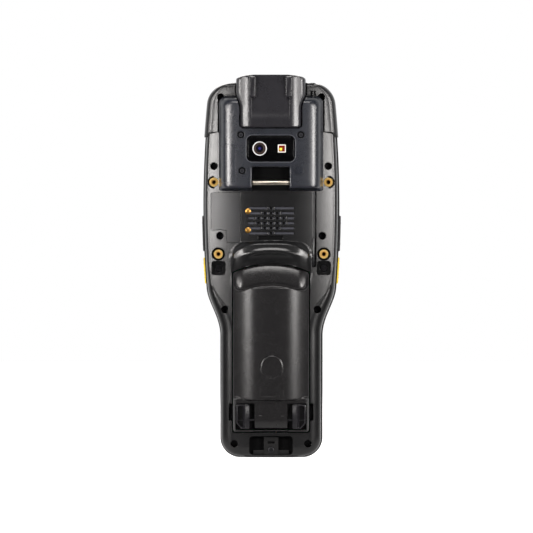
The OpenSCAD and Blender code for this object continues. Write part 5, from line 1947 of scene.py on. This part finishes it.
        def outline(g: float, inner: float, depth: float) -> list[Point]:
            """D-shaped outline, drawn in by g and on its inner side by inner.

            Args:
                g: Inset of the whole outline.
                inner: Inset of its inner side.
                depth: Its depth.

            Returns:
                The outline at that depth.
            """
            a, b, c, d = x0 + inner, x1 - g, z0 + g, z1 - g
            k = 2.9 - g * 0.6
            low = [(a, c + 0.5), (a + 0.5, c), (b - k, c), (b, c + k * 1.15), (b, d - 0.7)]
            return [
                (x, depth, z) for x, z in (*low, (b - 0.2, d - 0.2), (b - 0.7, d), (a + 0.5, d), (a, d - 0.5))]

        form = skin([outline(g, g, y + up) for g, up in ((0.0, -2.7), (0.0, 0.05), (0.08, 0.22), (0.25, 0.3))])
        pocket = skin([outline(1.15, 3.9, y - 0.8), outline(0.85, 2.6, y + 0.3), outline(0.75, 2.5, y + 2)])
        profile = [(0.1, -1.0), (0.1, 0.75), (0.35, 0.9), (2.25, 0.6), (2.5, 0.35), (2.5, -1.0)]
        ends = [(z0 + 0.25, 0.45), (z0 + 0.5, 0.12), (z0 + 0.9, 0.0)]
        ends += [(z1 - 0.9, 0.0), (z1 - 0.5, 0.12), (z1 - 0.25, 0.45)]
        bar = skin([[(x0 + p, y + q - (e if q > 0 else 0.0), z) for p, q in profile] for z, e in ends])
        leg = block((x0 + 0.01, -2.8, 21.9), (x1 - 1, 6.9, 29.5))
        tongue = block((x0, -2.8, 21.9), (23.2, -0.4, 29.5))
        flange = block((x0 - 1.1, 5.2, 16.1), (x1 + 0.2, 6.25, 30.5))
        parts = [part.on_side(side) for part in (form, pocket, bar, leg, tongue, flange)]
        obj = as_object(name + "_slider", parts[0])
        work_on(obj, parts[1:2])
        work_on(obj, parts[2:5], Cut.JOIN)
        smooth(obj, 30)
        finish_piece(obj, name)
        # Black plate on the pocket's floor: painted shade, in one piece with the flange.
        floor = skin([outline(1.2, 3.95, y - 0.85), outline(1.2, 3.95, y - 0.74)])
        make_piece(name + "_flange_and_painted_shade", parts[5] + floor.on_side(side), name, "painted_shade_black", False, 30)


# ---------------------------------------------------------------- front


@dataclass(frozen=True)
class Key:
    """One keypad key: its node, column, row, size and printed mark."""

    node: str
    column: int
    row: int
    mark: str
    w: float = 14.2
    h: float = 8.8


@dataclass
class Front:
    """Front shell, touch panel, keypad and side keys."""

    pitch: tuple[float, float] = (18.0, 13.2)
    key_z: float = 14.4
    panel: tuple[float, float, float, float] = (62.0, 102.0, 149.1, 3.0)
    side_y: float = -11.6
    sides: tuple[tuple[float, float, float, str], ...] = (
        (99.1, 15.0, 0.15, "scan_key"), (117.6, 20.4, 0.45, "rocker"))
    keys: tuple[Key, ...] = (
        Key("key_dot", -1, 0, "."), Key("key_0", 0, 0, "0"), Key("key_back", 1, 0, "<"),
        Key("key_7", -1, 1, "7"), Key("key_8", 0, 1, "8"), Key("key_9", 1, 1, "9"),
        Key("key_4", -1, 2, "4"), Key("key_5", 0, 2, "5"), Key("key_6", 1, 2, "6"),
        Key("key_1", -1, 3, "1"), Key("key_2", 0, 3, "2"), Key("key_3", 1, 3, "3"),
        Key("key_function", -1, 4, "dash"), Key("key_escape", 0, 4, "cross"), Key("key_enter", 1, 4, "bars"),
        Key("key_power", -1, 5, "ring"), Key("key_scan", 0, 5, "lines", 19.1, 10.6),
        Key("key_clear", 1, 5, "dot"))

    def place(self, key: Key) -> Flat:
        """Middle of a key as (x, z)."""
        return key.column * self.pitch[0], self.key_z + key.row * self.pitch[1]

    def shell(self, zone: Object) -> None:
        """Front housing with its openings."""
        f = FORM
        rings = []
        r = 3.0
        for z in f.heights(0.0, 0.0, 1.6):
            half = f.half(z)
            face = f.face + end_drop(min(z, f.body_top - z), r)
            side: list[Point] = [(half, f.parting, z), (half, (f.parting + face + r) / 2, z)]
            side += [(half - r + r * cosd(a), face + r - r * sind(a), z) for a in range(0, 91, 9)]
            middle = [(x, face, z) for x in steps(-half + r, half - r, 12)[1:-1]]
            rings.append([(-x, y, z) for x, y, z in side] + middle + side[::-1])
        obj = as_object("front_housing_shell", skin(rings))
        widths = [(f.half(z, 3.4), z) for z in steps(4.2, 206.0, 60)]
        inner = skin(
            [[(-x, f.face + 2.4, z), (x, f.face + 2.4, z), (x, 0.0, z), (-x, 0.0, z)] for x, z in widths])
        w, h, mid, corner = self.panel
        seat = pad(0, mid, w + 0.3, h + 0.3, corner + 0.15, f.face - 1, f.face + 1.35)
        work_on(obj, [inner, seat, pad(0, mid + h / 2 + 4.4, 12, 1.8, 0.89, f.face - 1, f.face + 3)])
        openings = Shape()
        for key in self.keys:
            x, z = self.place(key)
            openings += pad(x, z, key.w + 0.3, key.h + 0.3, 3.15, f.face - 1, f.face + 3)
        work_on(obj, [openings])
        slots = Shape()
        for z0, length, _, _ in self.sides:
            slots += self.strip(
                z0 - 0.15, z0 + length + 0.15, -2.8, 2, self.side_y - 3.35, self.side_y + 3.35).both()
            slots += self.strip(
                z0 - 0.9, z0 + length + 0.9, -4.6, -1.8, self.side_y - 4.1, self.side_y + 4.1).both()
        work_on(obj, [slots, block((-13, -15, -1), (13, -9.4, 5)), zone])
        smooth(obj, 28)
        finish_piece(obj, "front_housing")

    def strip(
        self, z0: float, z1: float, d0: float, d1: float, y0: float, y1: float, soft: float = 0.0
    ) -> Shape:
        """Strip along the left side between two offsets from the outline.

        Args:
            z0, z1: Its ends.
            d0, d1: The two offsets, positive outwards.
            y0, y1: Its depths.
            soft: Radius of its outer edges.

        Returns:
            The strip as a closed shape.
        """
        heights, profile = steps(z0, z1, 10), [(0.0, 0.0)]
        if soft:
            near = [z0, z0 + soft * 0.3, z0 + soft]
            heights = near + steps(z0 + soft, z1 - soft, 10)[1:-1] + [z1 - soft, z1 - soft * 0.3, z1]
            profile = [(soft, 0.0), (soft * 0.3, soft * 0.3), (0.0, soft)]
        rings = []
        for z in heights:
            cut = end_drop(min(z - z0, z1 - z), soft) if soft else 0.0
            x0, x1 = FORM.half(z) + d0, FORM.half(z) + d1 - cut
            ring = [(x0, y0 + cut, z), *((x1 - p, y0 + cut + q, z) for p, q in profile)]
            rings.append(ring + [(x1 - p, y1 - cut - q, z) for p, q in reversed(profile)] + [(x0, y1 - cut, z)])
        return skin(rings)

    def side_keys(self, ribs: Field) -> None:
        """Yellow scan keys and dark rockers on both sides."""
        y = self.side_y
        for side, word in ((1, "left"), (-1, "right")):
            for z0, length, gap, kind in self.sides:
                cap = self.strip(z0, z0 + length, -2.9 - gap, 0.8, y - 3.2, y + 3.2, 0.6)
                flange = self.strip(z0 - 0.6, z0 + length + 0.6, -3.0 - gap, -1.8 - gap, y - 3.8, y + 3.8)
                obj = as_object(f"{kind}_{word}_cap", cap.on_side(side))
                work_on(obj, [flange.on_side(side)], Cut.JOIN)
                smooth(obj, 35)
                finish_piece(obj, f"{kind}_{word}")
                count = 5 if kind == "scan_key" else 2
                points = []
                for k in range(count):
                    z = z0 + length / 2 + (k - (count - 1) / 2) * (2.0 if count == 5 else 12.0)
                    points.append((side * (FORM.half(z) + 0.62), y, z))
                finish = "yellow_rubber" if count == 5 else "side_rubber"
                grip = ribs.spread(f"{kind}_{word}_grip", points, finish, Radius=0.00034, Length=0.0048)
                smooth(grip, 40)
                finish_piece(grip, f"{kind}_{word}", replace=False)

    def keycap(self, key: Key) -> None:
        """One key: pillowed cap, flange and its mark."""
        f = FORM
        x, z = self.place(key)
        rings = [rounded(x, f.face + y, z, key.w + 1.2, key.h + 1.2, 3.6) for y in (3.35, 2.56)]
        pillow = ((0.0, 0.75), (0.12, 0.4), (0.45, 0.16), (1.1, 0.05), (2.0, 0.0), (3.2, 0.1))
        for d, y in ((0.0, f.face + 2.56), *((d, f.key_top + h) for d, h in pillow)):
            rings.append(rounded(x, y, z, key.w - 2 * d, key.h - 2 * d, max(0.6, 3.0 - d)))
        make_piece(key.node + "_cap", skin(rings), key.node, angle=40)
        self.print_mark(key, x, z)

    def print_mark(self, key: Key, x: float, z: float) -> None:
        """Plain number or sign on a key.

        Args:
            key: The key.
            x, z: Its middle.
        """
        y = FORM.key_top + 0.1
        name = key.node + "_mark"
        if key.mark.isdigit() or key.mark in ".<":
            text = bpy.data.curves.new(name, "FONT")
            text.body = key.mark
            text.size = 5.4 * MM
            text.align_x, text.align_y = "CENTER", "CENTER"
            text.extrude = 0.02 * MM
            text.resolution_u = 3
            obj = bpy.data.objects.new(name, text)
            bpy.context.scene.collection.objects.link(obj)
            graph = bpy.context.evaluated_depsgraph_get()
            mesh = bpy.data.meshes.new_from_object(obj.evaluated_get(graph))
            bpy.data.objects.remove(obj)
            for vertex in mesh.vertices:
                vertex.co = Vector((vertex.co.x + x * MM, (y - 0.03) * MM - vertex.co.z, vertex.co.y + z * MM))
            mark = bpy.data.objects.new(name, mesh)
            bpy.context.scene.collection.objects.link(mark)
        else:
            mark = as_object(name, self.sign(key.mark, x, z, y - 0.05, y + 0.02))
        finish_piece(mark, key.node, "black_print" if key.node == "key_scan" else "key_print", replace=False)

    def sign(self, kind: str, x: float, z: float, y0: float, y1: float) -> Shape:
        """Generic sign made of small plates.

        Args:
            kind: Which sign.
            x, z: The key's middle.
            y0, y1: Depths of its base and of its face.

        Returns:
            The sign as a closed shape.
        """
        def plate(cx: float, cz: float, w: float, h: float) -> Shape:
            """Small plate about (cx, cz) on the key."""
            return pad(x + cx, z + cz, w, h, min(w, h) * 0.2, y1, y0)

        if kind == "dash":
            return plate(0, 0, 4.0, 0.8)
        if kind == "cross":
            arm, k = pad(0, 0, 4.2, 0.8, 0.2, y1, y0), 0.7071
            rising = arm.bent(lambda p: (x + (p[0] - p[2]) * k, p[1], z + (p[0] + p[2]) * k))
            return rising + arm.bent(lambda p: (x + (p[0] + p[2]) * k, p[1], z + (p[2] - p[0]) * k))
        if kind == "bars":
            return plate(0, 0.9, 4.0, 0.7) + plate(0, -0.9, 4.0, 0.7)
        if kind == "lines":
            return sum((plate(-4.2 + k * 1.2, 0, 0.35 + 0.25 * (k % 3), 3.6) for k in range(8)), Shape())
        if kind == "ring":
            return flat_ring(x, z, 1.9, 1.35, y0, y1)
        return rod_y(x, z, 0.9, y0, y1, 24)

    def build(self, zone: Object, ribs: Field) -> None:
        """Builds the front.

        Args:
            zone: What the bumper takes from it.
            ribs: Tree for the side keys' grip ribs.
        """
        self.shell(zone)
        w, h, mid, corner = self.panel
        glass = pad(0, mid, w, h, corner, FORM.face + 1.2, FORM.face + 0.05, 0.25)
        make_piece("touch_panel_glass", glass, "touch_panel")
        view = as_object("display_area", pad(0, mid - 1, 50.0, 88.0, 0.4, FORM.face + 0.06, FORM.face + 0.045))
        finish_piece(view, "touch_panel", "screen", replace=False)
        self.side_keys(ribs)
        for key in self.keys:
            self.keycap(key)


# ---------------------------------------------------------------- fittings


@dataclass
class Fittings:
    """Screws, inserts, stylus, strap bar, strap anchor and the pieces inside."""

    inner: tuple[str, ...] = (
        "scan_window", "scan_engine", "camera_module", "speaker", "battery_case", "battery_contacts",
        "latch_pins", "bay_connector", "dock_connector", "display_module", "main_board", "shield_cans",
        "keypad_board", "key_domes", "housing_seal", "side_switches", "earpiece")

    def screws(self, screw: Field) -> None:
        """All screws from one tree."""
        case = [(s * x, -1.8, z) for x, z in CASE_SCREWS for s in (1, -1)]
        cover = [(s * x, ModuleCover().face(x) - 1.1, z) for x, z in COVER_SCREWS for s in (1, -1)]
        sets = (
            ("case_screw_set", case, "case_screws", "black_steel", (0.0019, 0.0016, 0.00095, 0.008)),
            ("cover_screw_set", cover, "cover_screws", "screw_steel", (0.0013, 0.001, 0.0008, 0.0098)),
            ("anchor_screw_one", [(0, 3.9, 4.1)], "anchor_screw", "black_steel",
             (0.0018, 0.0008, 0.0008, 0.0026)))
        for name, places, node, finish, sizes in sets:
            named = dict(zip(("Head_Radius", "Head_Height", "Shank_Radius", "Shank_Length"), sizes))
            obj = screw.spread(name, places, finish, **named, Lobes=6)
            smooth(obj, 35)
            finish_piece(obj, node, "screw_steel" if node == "cover_screws" else None)

    def inserts(self, insert: Field) -> None:
        """Knurled brass inserts."""
        places = [(s * x, 3.843, z) for x, z in INSERTS for s in (1, -1)]
        sizes = {"Outer_Radius": 0.0026, "Bore_Radius": 0.0011, "Length": 0.006, "Teeth": 36}
        obj = insert.spread("threaded_insert_set", places, "brass", **sizes)
        smooth(obj, 35)
        finish_piece(obj, "threaded_inserts")

    def contacts(self) -> None:
        """Domed handle contacts beside the grille."""
        shape = Shape()
        for k in (-0.5, 0.5):
            profile = [(1.7, 2.4), (1.7, 5.55), (1.5, 5.78), (0.9, 5.88), (0.25, 5.9)]
            shape += lathe(CONTACT_X, GRILLE_Z + k * CONTACT_GAP, profile, 32)
        make_piece("handle_contact_pair", shape, "trigger_contacts", angle=40)

    def stylus(self) -> None:
        """Stylus with tip, collar and a grooved end."""
        profile = [(0.35, 0.0), (0.5, 0.15), (0.62, 0.8), (0.9, 1.9), (1.3, 2.8), (1.4, 3.2)]
        profile += [(1.4, 20.0), (1.28, 20.2), (1.28, 20.8), (1.4, 21.0), (1.4, 97.0)]
        for k in range(5):
            z = 97.4 + k
            profile += [(1.25, z), (1.25, z + 0.3), (1.4, z + 0.5), (1.4, z + 0.8)]
        profile += [(1.4, 103.5), (1.3, 103.8), (1.1, 104.0)]
        rod = lathe_z(STYLUS_X, STYLUS_Y, [(r, STYLUS_Z + h) for r, h in profile])
        make_piece("stylus_rod", rod, "stylus", "bumper_plastic", angle=40)

    def bar(self) -> None:
        """Steel bar across the strap slot."""
        rod = rod_x(BAR_Y, BAR_Z, 1.45, -12.55, 12.55, 48, 0.25)
        make_piece("strap_bar_rod", rod, "strap_bar", angle=40)

    def anchor(self) -> None:
        """Strap anchor in the bottom recess."""
        obj = node_copy("strap_anchor", "strap_anchor_block")
        round_edges(obj, 0.2, 3, 40)
        smooth(obj, 35)
        # The darker finish is painted shade of the bottom recess.
        finish_piece(obj, "strap_anchor", "recess_plastic")

    def inside(self) -> None:
        """Pieces that mostly show when the pack is tilted out or through openings."""
        for node in self.inner:
            obj = node_copy(node, node + "_piece")
            round_edges(obj, 0.12, 2, 40)
            smooth(obj, 35)
            finish_piece(obj, node, "black_steel" if node == "latch_pins" else None)

    def build(self) -> None:
        """Builds every fitting."""
        self.screws(screw_field())
        self.inserts(insert_field())
        self.contacts()
        self.stylus()
        self.bar()
        self.anchor()
        self.inside()


# ---------------------------------------------------------------- studio


@dataclass(frozen=True)
class Lamp:
    """One soft rectangular lamp, aimed at the object's middle.

    Its place is given by how far it is turned from the +Y side, how high it stands and its distance.
    """

    name: str
    turn: float
    rise: float
    reach: float
    size: tuple[float, float]
    power: float

    def place(self, side: int) -> Point:
        """Its place on the left (1) or right (-1) side, in metres."""
        turn, rise = math.radians(self.turn), math.radians(self.rise)
        flat = self.reach * math.cos(rise)
        return (side * flat * math.sin(turn), flat * math.cos(turn), 0.13 + self.reach * math.sin(rise))


@dataclass
class Studio:
    """Camera, lamps, floor and white surroundings."""

    azimuth: float = 179.0
    distance: float = 4.0
    view_width: float = 0.3038
    target: Point = (0.00257, 0.0064, 0.1089)
    pairs: tuple[Lamp, ...] = (
        Lamp("key_box", 31.0, 4.0, 0.75, (0.17, 0.11), 2.0),
        Lamp("side_box", 52.0, 12.5, 0.75, (0.28, 0.12), 1.2))
    single: tuple[Lamp, ...] = (
        Lamp("top_strip", 0.0, 45.0, 0.75, (0.4, 0.16), 2.3),
        Lamp("front_fill", 170.0, 36.0, 1.7, (1.2, 0.8), 18.0))

    def aim(self, obj: Object, target: Sequence[float]) -> None:
        """Turns a lamp or camera towards a point."""
        way = Vector(target) - obj.location
        obj.rotation_euler = way.to_track_quat("-Z", "Y").to_euler()

    def light(self, lamp: Lamp, side: int = 1) -> None:
        """Adds one lamp, on the left (1) or right (-1) side.

        Args:
            lamp: The lamp.
            side: The side that it stands on.
        """
        name = lamp.name + ("_left" if side > 0 else "_right")
        data = bpy.data.lights.new(name, "AREA")
        data.shape = "RECTANGLE"
        data.size, data.size_y = lamp.size
        data.energy = lamp.power
        data.color = (1.0, 0.97, 0.95)
        obj = bpy.data.objects.new(name, data)
        bpy.context.scene.collection.objects.link(obj)
        obj.location = lamp.place(side)
        self.aim(obj, (0.0, 0.0, 0.12))

    def camera(self) -> None:
        """Long lens straight at the back."""
        data = bpy.data.cameras.new("camera")
        data.sensor_width = 36.0
        data.lens = 36.0 * self.distance / self.view_width
        data.clip_start, data.clip_end = 0.1, 50.0
        obj = bpy.data.objects.new("camera", data)
        bpy.context.scene.collection.objects.link(obj)
        a = math.radians(self.azimuth)
        t = self.target
        obj.location = (t[0] - self.distance * math.sin(a), t[1] - self.distance * math.cos(a), t[2])
        self.aim(obj, t)
        bpy.context.scene.camera = obj

    def floor(self) -> None:
        """Pale floor that keeps the shadow and shows white to the camera."""
        obj = as_object("floor", pad(0, 0, 8000, 8000, 60, -12, 0).bent(lambda p: (p[0], p[2], p[1] - 0.02)))
        material = bpy.data.materials.new("floor_paint")
        material.use_nodes = True
        bench = NodeBench(material.node_tree)
        cloud = bench.noise(220.0, 2.0)
        across = bench.split()
        depth = across.sibling(1)
        seen = self.seen(bench, (0.3 - depth * 10.0).limited())
        pale = (0.88, 0.88, 0.88)
        glow = bench.mix(((across * across + depth * depth) * 3.0).limited(), pale, (1.0, 1.0, 1.0))
        gloss = bench.add("ShaderNodeLightPath", None, None, "Is Glossy Ray")
        mirrored = gloss * (depth * 8.0).limited()
        paint = bench.mix(mirrored, bench.mix(cloud, pale, (0.93, 0.93, 0.93)), (0.02, 0.02, 0.02))
        shown = bench.mix(seen, (0.0, 0.0, 0.0), glow)
        shader = bench.add("ShaderNodeBsdfPrincipled", None, {
            "Base Color": paint, "Roughness": 0.8, "Specular IOR Level": 0.1, "Emission Color": shown,
            "Emission Strength": 1.0})
        bench.add("ShaderNodeOutputMaterial", None, {"Surface": shader})
        obj.data.materials.append(material)

    def seen(self, bench: NodeBench, share: Value) -> Value:
        """1 for rays of the camera and those that glass passes on; the given share for reflections."""
        path = bench.add("ShaderNodeLightPath", None, None, "Is Camera Ray")
        return (path + path.sibling("Is Transmission Ray") + path.sibling("Is Glossy Ray") * share).limited()

    def world(self) -> None:
        """White to the camera all round; a dim grey room on the side behind it."""
        world = bpy.data.worlds.new("studio")
        bpy.context.scene.world = world
        world.use_nodes = True
        bench = NodeBench(world.node_tree)
        depth = bench.split().sibling(1)
        white = self.seen(bench, (0.45 - depth * 1.5).limited())
        colour = bench.mix(white, (0.03, 0.03, 0.031), (1.0, 1.0, 1.0))
        back = bench.add("ShaderNodeBackground", None, {"Color": colour, "Strength": 1.0})
        bench.add("ShaderNodeOutputWorld", None, {"Surface": back})

    def build(self) -> None:
        """Sets the studio up."""
        self.camera()
        self.floor()
        self.world()
        for lamp in self.pairs:
            self.light(lamp, 1)
            self.light(lamp, -1)
        for lamp in self.single:
            self.light(lamp)
        bpy.context.scene.view_settings.view_transform = "Standard"


def main() -> None:
    """Builds the terminal piece by piece, then the studio round it."""
    logging.basicConfig(level=logging.INFO, format="%(name)s %(message)s")
    Studio().build()
    zone = bumper_zone(0.15)
    ribs = rib_field()
    RearHousing().build(zone, ribs)
    Front().build(zone, ribs)
    drop(zone)
    TopBumper().build()
    ModuleCover().build()
    ScanHood().build()
    Camera().build()
    BatteryPack().build()
    Fittings().build()
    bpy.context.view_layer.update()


if __name__ == "__main__":
    main()
